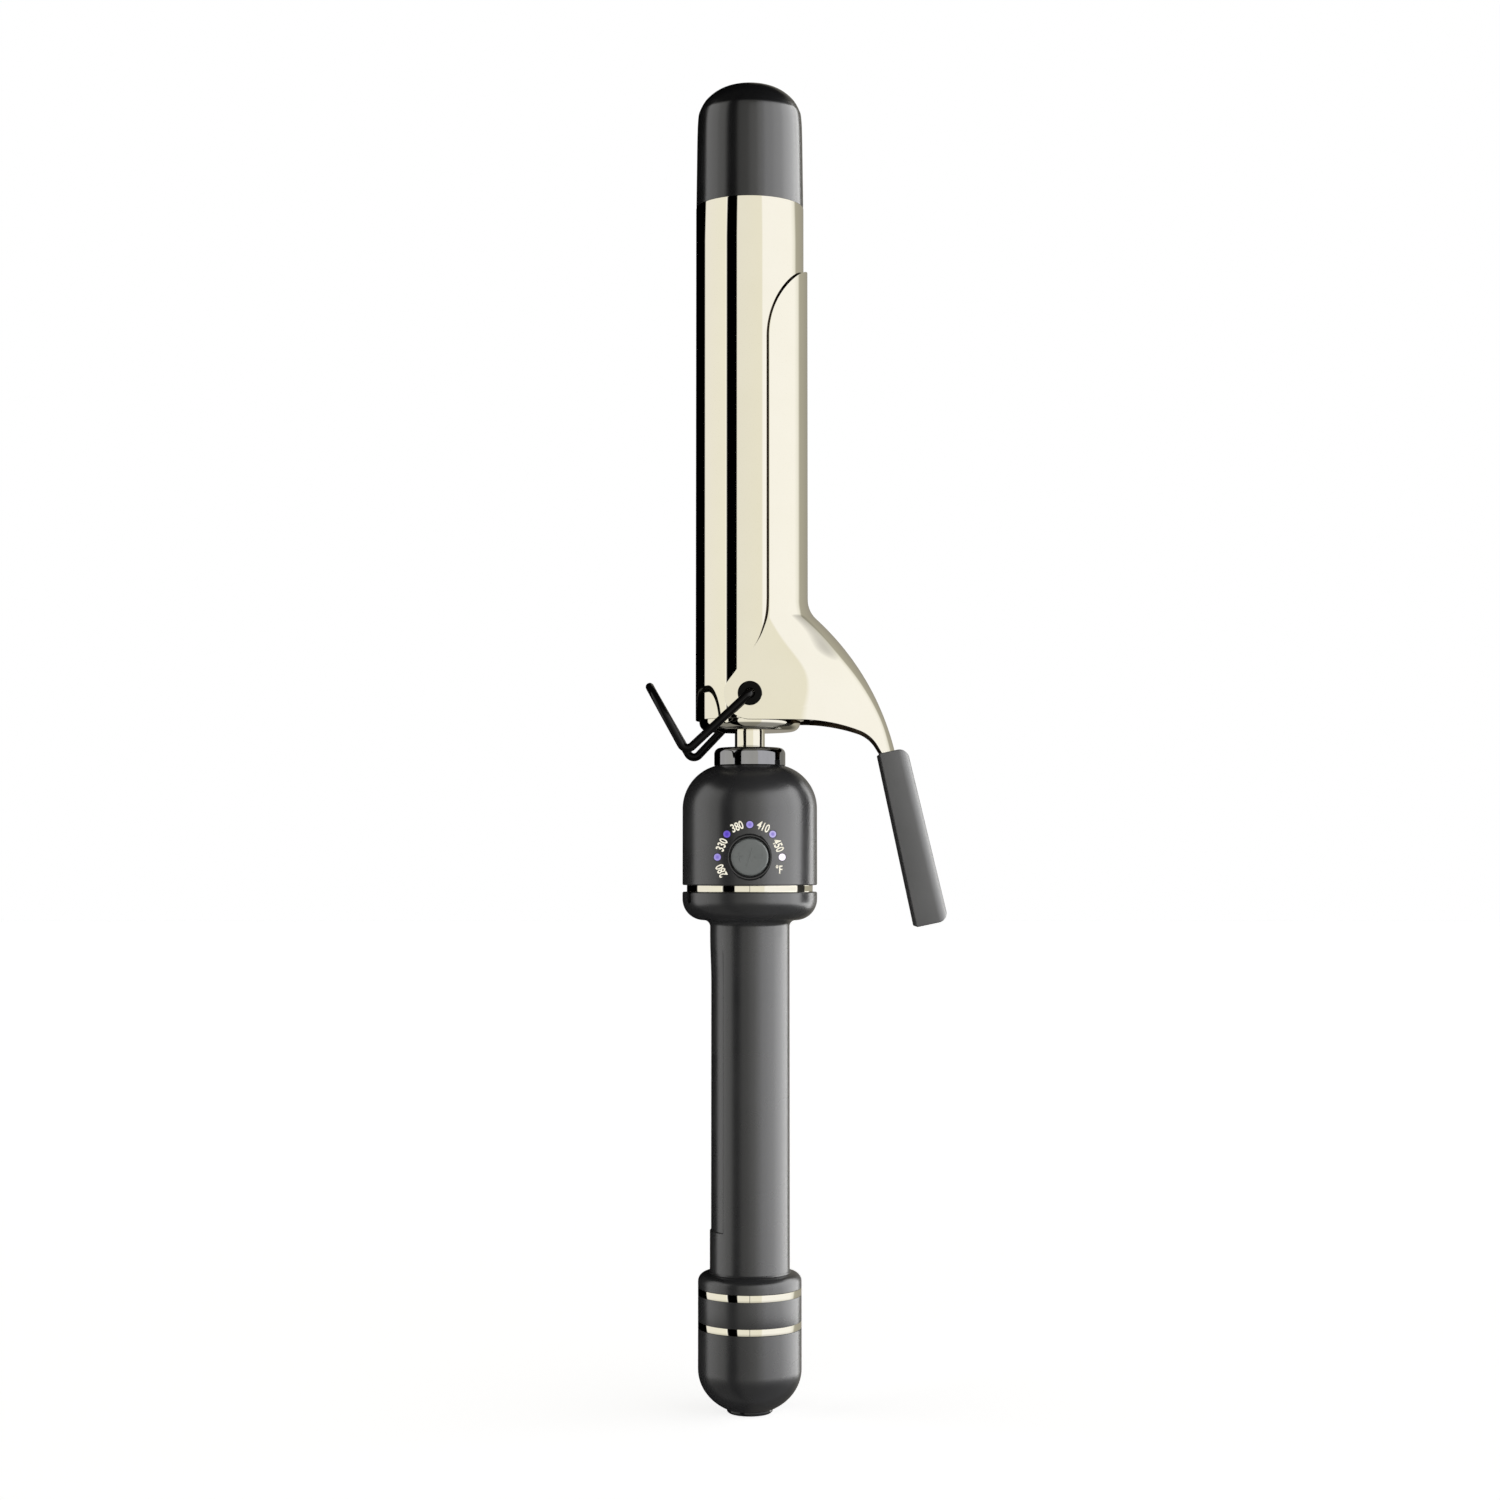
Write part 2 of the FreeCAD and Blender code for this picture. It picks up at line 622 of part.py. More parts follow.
def heater_leads():
    """Lead to the fuse, link from the fuse to the strip, and the return lead."""
    low = BOARD_TOP - 3.0
    back = V(-2.0, BOARD_BACK, low)
    fuse_low = V(FUSE_X, 0, FUSE_Z)
    rise = V(-2.0, 0, low)
    first = round_wire([back, rise, V(-2.0, 0, FUSE_Z - 4), V(FUSE_X, 0, FUSE_Z - 1.5), fuse_low],
                       LEAD_R, [2.0, 1.5, 0.9])
    link = cylinder(LEAD_R, V(FUSE_X, 0, FUSE_TOP), V(FUSE_X, 0, STRIP_Z))
    out = round_wire([V(2.0, BOARD_BACK, low), V(2.0, 0, low), V(2.0, 0, FUSE_Z - 4),
                      V(4.0, 0, FUSE_Z), V(4.0, 0, STRIP_Z)], LEAD_R, [2.0, 1.5, 1.5])
    return [first, link, out]


def sensor_leads():
    """Two thin leads from the board to the thermistor."""
    leads = []
    low = BOARD_TOP - 5.5
    for x in (-0.7, 0.7):
        points = [V(x, BOARD_BACK, low), V(x, -2.0, low), V(x, -2.0, FUSE_Z - 1)]
        points += [V(x, SENSOR_Y, BLOCK_Z - 3), V(x, SENSOR_Y, BLOCK_Z + 3)]
        leads.append(round_wire(points, SENSE_LEAD_R, [1.2, 2.0, 2.0]))
    return leads


def mains_leads():
    """Two leads from the swivel's brushes up to the board."""
    leads = []
    for side in (-1, 1):
        x = side * 6.5
        points = [V(x, 0, HOLDER_PLATE_TOP), V(x, 0, CUP_FLOOR - 6), V(side * 4.2, 0, CUP_FLOOR + 1)]
        points += [V(side * 4.2, 0, BOARD_Z + 12.2), V(side * 4.2, BOARD_BACK, BOARD_Z + 12.2)]
        leads.append(round_wire(points, MAINS_LEAD_R, [3.0, 3.0, 2.0]))
    return leads


# ---- foot of the grip and swivel ----
SLEEVE_LOW = LOWER_RING_Z - 4.4
COLLAR_EDGE = min(2.5, END_R - GRIP_R - FIT - 0.5)
FLANGE_ROOM_R = SLEEVE_IN - 0.7
GLAND_FLANGE_R = FLANGE_ROOM_R - 0.7
GLAND_BORE_TOP = GLAND_Z + 11.0
GLAND_TOP = 26.0
CORD_SLEEVE_R = CORD_BORE / 2 + 1.5
BRUSH_WALL_IN = SLEEVE_IN - 2.1
SLIP_R = BRUSH_WALL_IN - 2.9
SWIVEL_HUB_R = SLIP_R - 0.8
WIRE_PASSAGE_R = 2.0
BRUSH_PLATE_Z = 22.0
HOLDER_PLATE_TOP = BRUSH_PLATE_Z + 2.0
SLIP_LEVELS = (12.0, 17.2)
SLIP_HEIGHT = 2.5


def end_collar():
    """Collar at the grip's foot with the sleeve that carries rings, band and end dome."""
    edge = COLLAR_EDGE
    low = END_COLLAR_Z
    shoulder = low + END_COLLAR_HEIGHT - 1.1
    bore = GRIP_R + FIT
    ledge = low + 0.06
    parts = [(SLEEVE_IN, SLEEVE_LOW), (SLEEVE_R, SLEEVE_LOW), (SLEEVE_R, low), (END_R, low)]
    parts += [(END_R, shoulder - edge), arc((END_R - edge, shoulder - edge), edge, 0, 90)]
    parts += [(bore + 0.3, shoulder + 0.15), (bore, shoulder + 0.6), (bore, ledge), (SLEEVE_IN, ledge)]
    return turned(parts)


def end_band():
    """Black band between the two gold rings."""
    z = LOWER_RING_Z + RING_HEIGHT
    return tube_z(END_R, SLEEVE_R + FIT, z, z + BAND_HEIGHT)


def end_dome():
    """Rounded end cap with the gland's hole and a ledge for the brush holder."""
    height = END_MIDDLE + 0.2
    points = []
    hole = GLAND_R + FIT
    start = math.degrees(math.acos(hole / END_R))
    steps = 14
    for i in range(steps + 1):
        a = math.radians(start * (1 - i / steps))
        points.append((END_R * math.cos(a), END_MIDDLE - height * math.sin(a)))
    parts = [curve(points), (END_R, LOWER_RING_Z), (SLEEVE_R + FIT, LOWER_RING_Z)]
    parts += [(SLEEVE_R + FIT, SLEEVE_LOW), (SLEEVE_IN + 0.4, SLEEVE_LOW), (SLEEVE_IN + 0.4, END_LEDGE)]
    parts += [(FLANGE_ROOM_R, END_LEDGE), (FLANGE_ROOM_R, END_FLOOR), (hole, END_FLOOR)]
    return turned(parts)


def swivel_gland():
    """Turning gland: nub outside, flange inside the end dome, hub for the slip rings."""
    edge = 0.8
    floor = END_FLOOR + FIT
    bore = CORD_BORE / 2
    parts = [(bore, GLAND_Z), (GLAND_R - edge, GLAND_Z)]
    parts += [arc((GLAND_R - edge, GLAND_Z + edge), edge, -90, 0), (GLAND_R, floor)]
    parts += [(GLAND_FLANGE_R, floor), (GLAND_FLANGE_R, floor + 2), (CORD_SLEEVE_R, floor + 2)]
    parts += [(CORD_SLEEVE_R, GLAND_BORE_TOP + 0.8), (SWIVEL_HUB_R, GLAND_BORE_TOP + 0.8)]
    parts += [(SWIVEL_HUB_R, GLAND_TOP), (WIRE_PASSAGE_R, GLAND_TOP), (WIRE_PASSAGE_R, GLAND_BORE_TOP)]
    parts += [(bore, GLAND_BORE_TOP)]
    return turned(parts)


def slip_rings():
    """Two brass rings on the gland's hub."""
    rings = []
    for z in SLIP_LEVELS:
        rings.append(tube_z(SLIP_R, SWIVEL_HUB_R, z, z + SLIP_HEIGHT))
    return rings


def brush_holder():
    """Fixed insulator cup round the slip rings."""
    outer = SLEEVE_IN - FIT
    body = tube_z(outer, BRUSH_WALL_IN, END_LEDGE, BRUSH_PLATE_Z)
    return body.fuse(tube_z(outer, SWIVEL_HUB_R + 0.4, BRUSH_PLATE_Z, HOLDER_PLATE_TOP))


def swivel_brushes():
    """Two brass fingers, one per slip ring, on opposite sides."""
    brushes = []
    for z, side in zip(SLIP_LEVELS, (-1, 1)):
        x = sorted((side * (SLIP_R + FIT), side * (BRUSH_WALL_IN - 0.8)))
        tip = block(x[0], x[1], -1.2, 1.2, z + 0.7, z + 1.8)
        y = sorted((side * (BRUSH_WALL_IN - 1.2), side * (BRUSH_WALL_IN - 0.65)))
        spine = block(y[0], y[1], -1.2, 1.2, z + 0.7, BRUSH_PLATE_Z)
        brushes.append(tip.fuse(spine))
    return brushes


# ---- clamp, lever and spring ----
SPINE_ARC = 77.0
FILLET_ARC = 8.0
LEVER_TURN = 47.5
FILLET_TOP = PIVOT_Z + 28.67
SPOON_HALF_ANGLE = 71.0
SPOON_STRAIGHT_TOP = FILLET_TOP + 75.0
SPOON_TIP = 21.8
EAR_R = 7.4
EAR_START_DEG = 160.0
LEVER_FLAT = 15.02
LEVER_ARC = 50.0
LEVER_ARC_DEG = 19.7
LEVER_HOOK_ARC = 10.0
LEVER_HOOK_DEG = 60.0
LEVER_END_Z = PIVOT_Z - 17.2
GRIP_TOP_X = CLAMP_R + 20.55
GRIP_TOP_Z = LEVER_END_Z + 0.3
GRIP_PAD_LENGTH = 51.4
GRIP_PAD_THICK = 8.35
GRIP_PAD_WIDTH = 16.4
GRIP_TILT_IN = 12.0
GRIP_TILT_OUT = 13.4
TANG_WIDTH = 11.0
TANG_LENGTH = 34.0


def spine_centre():
    """Middle (x, z) of the large arc that the lever's back follows."""
    turn = math.radians(LEVER_TURN)
    x = CLAMP_R + FILLET_ARC * (1 - math.cos(turn)) - SPINE_ARC * math.cos(turn)
    z = FILLET_TOP - FILLET_ARC * math.sin(turn) - SPINE_ARC * math.sin(turn)
    return x, z


def spine_x(z, inset):
    """How far the clamp's back stands from the axis at a level; inset moves it inwards."""
    turn = math.radians(LEVER_TURN)
    if z >= FILLET_TOP:
        return CLAMP_R - inset
    fillet = FILLET_ARC + inset
    drop = FILLET_TOP - z
    if drop <= fillet * math.sin(turn):
        return CLAMP_R + FILLET_ARC - math.sqrt(fillet ** 2 - drop ** 2)
    cx, cz = spine_centre()
    return cx + math.sqrt((SPINE_ARC - inset) ** 2 - (z - cz) ** 2)


def clamp_section(z, inset):
    """Closed outline at one level: flat cheeks, then half an ellipse round the back."""
    half = CLAMP_R - inset
    depth = spine_x(z, inset)
    near = -CLAMP_R
    if depth >= half:
        ellipse = Part.Ellipse(V(depth, 0, z), V(0, half, z), V(0, 0, z))
        front = Part.ArcOfEllipse(ellipse, -math.pi / 2, math.pi / 2)
    else:
        front = Part.Arc(V(0, -half, z), V(depth, 0, z), V(0, half, z))
    edge = front.toShape()
    a = edge.valueAt(edge.FirstParameter)
    b = edge.valueAt(edge.LastParameter)
    low = V(near, -half, z)
    high = V(near, half, z)
    sides = [Part.LineSegment(low, a).toShape(), edge, Part.LineSegment(b, high).toShape()]
    return Part.Wire(sides + [Part.LineSegment(high, low).toShape()])


def clamp_body(inset):
    """Solid inside one of the clamp's two surfaces."""
    top = FILLET_TOP + 6.0
    low = LEVER_END_Z - 8.0
    levels = [top, top - 2.0, top - 4.0, FILLET_TOP]
    steps = 20
    for i in range(1, steps + 1):
        levels.append(FILLET_TOP - (FILLET_TOP - low) * i / steps)
    lever = Part.makeLoft([clamp_section(z, inset) for z in levels], True, False)
    spoon = Part.Face(clamp_section(top, inset)).extrude(V(0, 0, SPOON_STRAIGHT_TOP + 40 - top))
    return lever.fuse(spoon)


def spoon_edge():
    """Free edge of the spoon seen from the side, from the straight part to the tip."""
    half = math.radians(SPOON_HALF_ANGLE)
    points = []
    steps = 16
    for i in range(steps + 1):
        rise = math.sin(math.pi / 2 * i / steps)
        across_tip = math.sqrt(1 - rise ** 2)
        x = CLAMP_R * math.cos(half * across_tip)
        points.append((x, SPOON_STRAIGHT_TOP + SPOON_TIP * rise))
    return points


def clamp_outline():
    """Side view that the pressing is cut to: spoon, slanted cheek, ear and lever."""
    edge_x = CLAMP_R * math.cos(math.radians(SPOON_HALF_ANGLE))
    ear = on_circle((0, PIVOT_Z), EAR_R, EAR_START_DEG)
    slant = [(edge_x, FILLET_TOP - 1.0), (edge_x - 0.22, PIVOT_Z + 23.4), (edge_x - 1.17, PIVOT_Z + 19.6)]
    slant += [(edge_x - 3.47, PIVOT_Z + 14.7), (edge_x - 9.2, PIVOT_Z + 7.0), ear]
    low_z = PIVOT_Z - EAR_R
    first = (LEVER_FLAT, low_z - LEVER_ARC)
    turn = 90 - LEVER_ARC_DEG
    second = on_circle(first, LEVER_ARC - LEVER_HOOK_ARC, turn)
    edges = [curve(spoon_edge()[::-1]), curve(slant), arc((0, PIVOT_Z), EAR_R, EAR_START_DEG, 270)]
    edges += [arc(first, LEVER_ARC, 90, turn), arc(second, LEVER_HOOK_ARC, turn, 90 - LEVER_HOOK_DEG)]
    side = pad_side()
    for off in (0.8, 14.0):
        edges.append((GRIP_TOP_X + side[0] * off, GRIP_TOP_Z + side[1] * off))
    edges += [(GRIP_TOP_X + side[0] * 14.0, SPOON_STRAIGHT_TOP + SPOON_TIP)]
    return edges


def grip_frame():
    """Grip pad's inner top corner and its two long directions, all in the XZ plane."""
    inner = math.radians(GRIP_TILT_IN)
    outer = math.radians(GRIP_TILT_OUT)
    corner = (GRIP_TOP_X, GRIP_TOP_Z)
    down_in = (math.sin(inner), -math.cos(inner))
    down_out = (math.sin(outer), -math.cos(outer))
    return corner, down_in, down_out


def pad_side():
    """Direction across the grip pad, from its inner to its outer face."""
    tilt = math.radians(GRIP_TILT_IN)
    return math.cos(tilt), math.sin(tilt)


def tang_piece(start, end, clearance):
    """Length of the flat tang, measured down from the pad's top face, with room round it."""
    corner, down_in, down_out = grip_frame()
    side = pad_side()
    near = GRIP_PAD_THICK * 0.42 - clearance
    far = GRIP_PAD_THICK * 0.42 + SHEET + clearance
    points = []
    for off, along in ((near, start), (far, start), (far, end), (near, end)):
        x = corner[0] + side[0] * off + down_in[0] * along
        z = corner[1] + side[1] * off + down_in[1] * along
        points.append((x, z))
    return across(points, TANG_WIDTH / 2 + clearance)


def clamp():
    """Gold sheet pressing: spoon along the barrel, pivot cheeks, lever and tang."""
    outer = clamp_body(0)
    shell = outer.cut(clamp_body(SHEET))
    shell = shell.common(across(clamp_outline(), CLAMP_R + 5))
    root = tang_piece(-4.0, 0.0, 0.0).common(outer)
    shell = shell.fuse(root).fuse(tang_piece(0.0, TANG_LENGTH, 0.0))
    return shell.cut(cross_hole(BUSHING_R + 0.06))


def pad_outline():
    """Side view of the grip pad."""
    corner, down_in, down_out = grip_frame()
    side = pad_side()
    length = GRIP_PAD_LENGTH
    top_out = (corner[0] + side[0] * GRIP_PAD_THICK, corner[1] + side[1] * GRIP_PAD_THICK)
    low_in = (corner[0] + down_in[0] * length, corner[1] + down_in[1] * length)
    low_out = (top_out[0] + down_out[0] * length, top_out[1] + down_out[1] * length)
    return [corner, top_out, low_out, low_in]


def lever_grip():
    """Moulded pad over the tang, its outer edges rounded."""
    corners = pad_outline()
    pad = across(corners, GRIP_PAD_WIDTH / 2)
    edges = []
    for edge in pad.Edges:
        middle = edge.CenterOfMass
        on_top = math.dist((middle.x, middle.z), corners[1]) < 0.01
        on_low = math.dist((middle.x, middle.z), corners[2]) < 0.01
        half_way = ((corners[1][0] + corners[2][0]) / 2, (corners[1][1] + corners[2][1]) / 2)
        on_side = math.dist((middle.x, middle.z), half_way) < 0.01
        if on_top or on_low or on_side:
            edges.append(edge)
    pad = pad.makeFillet(3.0, edges)
    return pad.cut(tang_piece(-1.0, TANG_LENGTH + 0.4, FIT))


SPRING_T = 0.6
SPRING_WIDTH = 7.0
SPRING_TOP = PIVOT_Z + 4.7
SPRING_LOW = PIVOT_Z - 4.7
SPRING_BEND = 1.8
SPRING_LOOP = 2.7
SPRING_CONTACT_DEG = 36.9


def clamp_spring():
    """Leaf spring: plate on the barrel, hairpin bend, arm that bears under the lever's back."""
    half = SPRING_T / 2
    plate_x = BARREL_R + half
    bend = (plate_x + SPRING_BEND, SPRING_LOW)
    sag = 1 - math.sqrt(1 - (SPRING_WIDTH / 2 / CLAMP_IN) ** 2)
    inset = half + SPRING_LOOP + sag * spine_x(SPRING_TOP, SHEET) + 0.05
    loop = on_circle(spine_centre(), SPINE_ARC - SHEET - inset, SPRING_CONTACT_DEG)
    span = math.dist(bend, loop)
    toward = math.atan2(loop[1] - bend[1], loop[0] - bend[0])
    tilt = math.degrees(toward - math.asin((SPRING_LOOP - SPRING_BEND) / span))
    arm_low = on_circle(bend, SPRING_BEND, tilt - 90)
    arm_top = on_circle(loop, SPRING_LOOP, tilt - 90)
    edges = [line((plate_x, SPRING_TOP), (plate_x, SPRING_LOW))]
    edges += [arc(bend, SPRING_BEND, 180, 270), arc(bend, SPRING_BEND, 270, 270 + tilt)]
    edges += [line(arm_low, arm_top), arc(loop, SPRING_LOOP, tilt - 90, 120)]
    path = Part.Wire(edges)
    w = SPRING_WIDTH / 2
    corners = [V(plate_x - half, -w, SPRING_TOP), V(plate_x + half, -w, SPRING_TOP)]
    corners += [V(plate_x + half, w, SPRING_TOP), V(plate_x - half, w, SPRING_TOP)]
    section = Part.makePolygon(corners + [corners[0]])
    leaf = path.makePipeShell([section], True, False, 1)
    return leaf.cut(rivet_hole(RIVET_R + FIT))


def spring_rivet():
    """Rivet that holds the leaf spring to barrel and holder."""
    face = BARREL_R + SPRING_T
    body = cylinder(RIVET_R, V(HOLDER_IN, 0, RIVET_Z), V(face, 0, RIVET_Z))
    return body.fuse(cylinder(RIVET_R * 1.9, V(face, 0, RIVET_Z), V(face + 0.8, 0, RIVET_Z)))


# ---- stand ----
STAND_CORNER = (-18.3, -17.1)
STAND_REAR_CORNER = (-17.2, -18.15)
STAND_BAR = (-29.0, 2.4)
STAND_BEND = 2.0
STAND_ROUND = 12.0


def stand_wire():
    """Bent wire: pins in the bushings, legs, and a rounded loop that turns up at the foot."""
    half = LEG_Y
    pin = HOLDER_IN + 0.2
    front_x, front_z = STAND_CORNER
    rear_x, rear_z = STAND_REAR_CORNER
    bar_x, bar_z = STAND_BAR
    points = [V(0, -pin, PIVOT_Z), V(0, -half, PIVOT_Z)]
    points += [V(front_x, -half, PIVOT_Z + front_z), V(bar_x, -half, PIVOT_Z + bar_z)]
    points += [V(bar_x, half, PIVOT_Z + bar_z), V(rear_x, half, PIVOT_Z + rear_z)]
    points += [V(0, half, PIVOT_Z), V(0, pin, PIVOT_Z)]
    tight = WIRE_R + 0.1
    bends = [tight, STAND_BEND, STAND_ROUND, STAND_ROUND, STAND_BEND, tight]
    return round_wire(points, WIRE_R, bends)


# ---- write every node ----
def main():
    """Build each piece and write it as its own file."""
    save("cool_tip", cool_tip())
    save("barrel_tube", barrel_tube())
    save("barrel_base_cap", barrel_base_cap())
    save("barrel_holder", barrel_holder())
    save("pivot_bushing_front", pivot_bushing(-1))
    save("pivot_bushing_rear", pivot_bushing(1))
    save("heater_block_front", heater_block_front())
    save("heater_block_rear", half_block(1))
    save("ptc_heater", ptc_heater())
    save("insulation_sheets", insulation_sheets())
    save("thermistor", thermistor())
    save("thermal_fuse", thermal_fuse())
    save("neck_tube", neck_tube())
    save("neck_collar", neck_collar())
    save("neck_nut", neck_nut())
    save("housing_dome", housing_dome())
    for number, degrees in enumerate(LENS_ANGLES, start=1):
        save("indicator_lens_" + str(number), indicator_lens(degrees))
    save("temperature_button", temperature_button())
    save("housing_trim_ring", split_ring(TRIM_R, SPIGOT_R + FIT, CUP_RIM, TRIM_HEIGHT))
    save("handle_shell", handle_shell())
    save("board_carrier", board_carrier())
    save("control_board", control_board())
    save("board_screws", board_screws())
    save("tact_switch", tact_switch())
    save("leds", leds())
    save("microcontroller", microcontroller())
    save("triac", triac())
    save("capacitor", capacitor())
    save("heater_leads", heater_leads())
    save("sensor_leads", sensor_leads())
    save("mains_leads", mains_leads())
    save("end_collar", end_collar())
    save("end_ring_upper", split_ring(END_R, SLEEVE_R + FIT, UPPER_RING_Z, END_COLLAR_Z - UPPER_RING_Z))
    save("end_band", end_band())
    save("end_ring_lower", split_ring(END_R, SLEEVE_R + FIT, LOWER_RING_Z, RING_HEIGHT))
    save("end_dome", end_dome())
    save("swivel_gland", swivel_gland())
    save("slip_rings", slip_rings())
    save("brush_holder", brush_holder())
    save("swivel_brushes", swivel_brushes())
    save("clamp", clamp())
    save("lever_grip", lever_grip())
    save("clamp_spring", clamp_spring())
    save("spring_rivet", spring_rivet())
    save("stand_wire", stand_wire())


main()
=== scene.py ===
import json
import math
import bpy
import bmesh
import numpy as np
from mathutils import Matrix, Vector


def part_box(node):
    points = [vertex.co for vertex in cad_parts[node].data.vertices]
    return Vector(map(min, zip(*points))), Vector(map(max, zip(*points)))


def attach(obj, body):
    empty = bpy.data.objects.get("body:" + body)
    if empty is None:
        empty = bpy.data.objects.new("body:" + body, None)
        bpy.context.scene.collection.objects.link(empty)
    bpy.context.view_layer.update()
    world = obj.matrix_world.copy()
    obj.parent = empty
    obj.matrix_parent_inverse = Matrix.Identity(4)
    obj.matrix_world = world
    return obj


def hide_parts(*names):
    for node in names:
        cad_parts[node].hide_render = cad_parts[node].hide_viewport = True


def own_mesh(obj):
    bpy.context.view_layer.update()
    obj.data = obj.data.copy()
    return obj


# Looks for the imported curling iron: each visible piece is a fine mesh that stands for its CAD node.
# Metres. +Z runs up the barrel, the lever is on +X, the button faces -Y, the stand points to -X.

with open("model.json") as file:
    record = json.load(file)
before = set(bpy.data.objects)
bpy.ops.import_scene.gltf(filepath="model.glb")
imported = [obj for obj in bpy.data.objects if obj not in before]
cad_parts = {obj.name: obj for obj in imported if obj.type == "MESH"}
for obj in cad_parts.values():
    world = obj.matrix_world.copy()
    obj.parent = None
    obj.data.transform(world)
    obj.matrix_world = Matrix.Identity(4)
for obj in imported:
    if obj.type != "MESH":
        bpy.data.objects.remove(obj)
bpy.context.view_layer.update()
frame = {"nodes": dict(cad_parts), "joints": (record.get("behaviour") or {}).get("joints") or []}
MM = 0.001


# ---------------------------------------------------------------- places from the frame
def low(node):
    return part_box(node)[0]


def high(node):
    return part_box(node)[1]


def joint_point(name):
    for joint in frame["joints"]:
        if joint["name"] == name:
            return Vector(joint["pos_m"])
    raise KeyError(name)


PIVOT_Z = joint_point("clamp_hinge").z
BARREL_R = high("barrel_tube").x
BARREL_Z = low("barrel_tube").z
BARREL_TOP = high("barrel_tube").z
TIP_TOP = high("cool_tip").z
HOUSING_R = high("housing_dome").x
DOME_Z = low("housing_dome").z
DOME_TOP = high("housing_dome").z
CUP_RIM = low("housing_trim_ring").z
TRIM_R = high("housing_trim_ring").x
END_R = high("end_dome").x
COLLAR_R = high("neck_collar").x
COLLAR_TOP = high("neck_collar").z
CAP_R = high("barrel_base_cap").x
CAP_Z = low("barrel_base_cap").z
END_COLLAR_Z = high("end_ring_upper").z
END_COLLAR_TOP = high("end_collar").z
GLAND_R = 6.65 * MM
GRIP_R = 11.6 * MM
GRIP_TOP = CUP_RIM - 10.14 * MM
BUTTON_Z = (low("temperature_button").z + high("temperature_button").z) / 2
CLAMP_R = high("clamp").y
SHEET = 0.85 * MM
NECK_R = 4.4 * MM
NECK_EASE = 0.05 * MM
SPIGOT_R = 14.525 * MM
CAP_FLOOR = 1.2 * MM
RING_WALL = 1.97 * MM
INSIDE_Y = -10.0 * MM


# ---------------------------------------------------------------- material helpers
def new_material(name):
    """Empty material with a Principled shader; returns (material, nodes, links, shader)."""
    mat = bpy.data.materials.new(name)
    mat.use_nodes = True
    tree = mat.node_tree
    shader = tree.nodes["Principled BSDF"]
    return mat, tree.nodes, tree.links, shader


def noise(nodes, links, scale, detail=3.0, stretch=None):
    """Factor of a noise in object space, optionally stretched; returns the output socket."""
    place = nodes.new("ShaderNodeTexCoord")
    tex = nodes.new("ShaderNodeTexNoise")
    tex.inputs["Scale"].default_value = scale
    tex.inputs["Detail"].default_value = detail
    source = place.outputs["Object"]
    if stretch:
        mapping = nodes.new("ShaderNodeMapping")
        mapping.inputs["Scale"].default_value = stretch
        links.new(source, mapping.inputs["Vector"])
        source = mapping.outputs["Vector"]
    links.new(source, tex.inputs["Vector"])
    return tex.outputs["Fac"]


def ranged(nodes, links, socket, low_value, high_value, start=0.25, stop=0.75):
    """Map start..stop of a factor on to a range; returns the output socket."""
    node = nodes.new("ShaderNodeMapRange")
    node.inputs["From Min"].default_value = start
    node.inputs["From Max"].default_value = stop
    node.inputs["To Min"].default_value = low_value
    node.inputs["To Max"].default_value = high_value
    links.new(socket, node.inputs["Value"])
    return node.outputs["Result"]


def color_stops(nodes, links, socket, stops):
    """Colour ramp with exactly these (position, colour) stops; returns the output socket."""
    ramp = nodes.new("ShaderNodeValToRGB")
    elements = ramp.color_ramp.elements
    while len(elements) > 1:
        elements.remove(elements[-1])
    for i, (position, color) in enumerate(stops):
        element = elements[0] if i == 0 else elements.new(position)
        element.position = position
        element.color = (*color, 1)
    links.new(socket, ramp.inputs["Fac"])
    return ramp.outputs["Color"]


def tint(nodes, links, socket, first, second):
    """Colour between two by a factor."""
    return color_stops(nodes, links, socket, [(0.3, first), (0.7, second)])


def math_node(nodes, links, operation, *values):
    """Math node fed with sockets or numbers; returns the output socket."""
    node = nodes.new("ShaderNodeMath")
    node.operation = operation
    for socket, value in zip(node.inputs, values):
        if isinstance(value, (int, float)):
            socket.default_value = value
        else:
            links.new(value, socket)
    return node.outputs[0]


def bump(nodes, links, shader, socket, strength, distance):
    node = nodes.new("ShaderNodeBump")
    node.inputs["Strength"].default_value = strength
    node.inputs["Distance"].default_value = distance
    links.new(socket, node.inputs["Height"])
    links.new(node.outputs["Normal"], shader.inputs["Normal"])


# ---------------------------------------------------------------- materials
def gold_material():
    """Polished pale gold plating: faint cloudiness and hairlines along the barrel."""
    mat, nodes, links, shader = new_material("gold_plate")
    cloud = noise(nodes, links, 90.0, 4.0)
    color = tint(nodes, links, cloud, (0.925, 0.885, 0.745), (0.94, 0.90, 0.765))
    links.new(color, shader.inputs["Base Color"])
    shader.inputs["Metallic"].default_value = 1.0
    hair = noise(nodes, links, 420.0, 5.0, (1.0, 1.0, 0.06))
    rough = ranged(nodes, links, hair, 0.018, 0.045)
    links.new(rough, shader.inputs["Roughness"])
    return mat


def vary(nodes, links, shader, factor, dark, light, rough_low, rough_high):
    """Base colour and roughness that change together with a factor."""
    links.new(tint(nodes, links, factor, dark, light), shader.inputs["Base Color"])
    links.new(ranged(nodes, links, factor, rough_low, rough_high), shader.inputs["Roughness"])


def satin_material(name, dark, light, rough_low, rough_high, grain):
    """Satin moulded plastic: fine eroded grain and slightly uneven sheen."""
    mat, nodes, links, shader = new_material(name)
    vary(nodes, links, shader, noise(nodes, links, 70.0, 3.0), dark, light, rough_low, rough_high)
    bump(nodes, links, shader, noise(nodes, links, grain, 2.0), 0.25, 0.00002)
    return mat


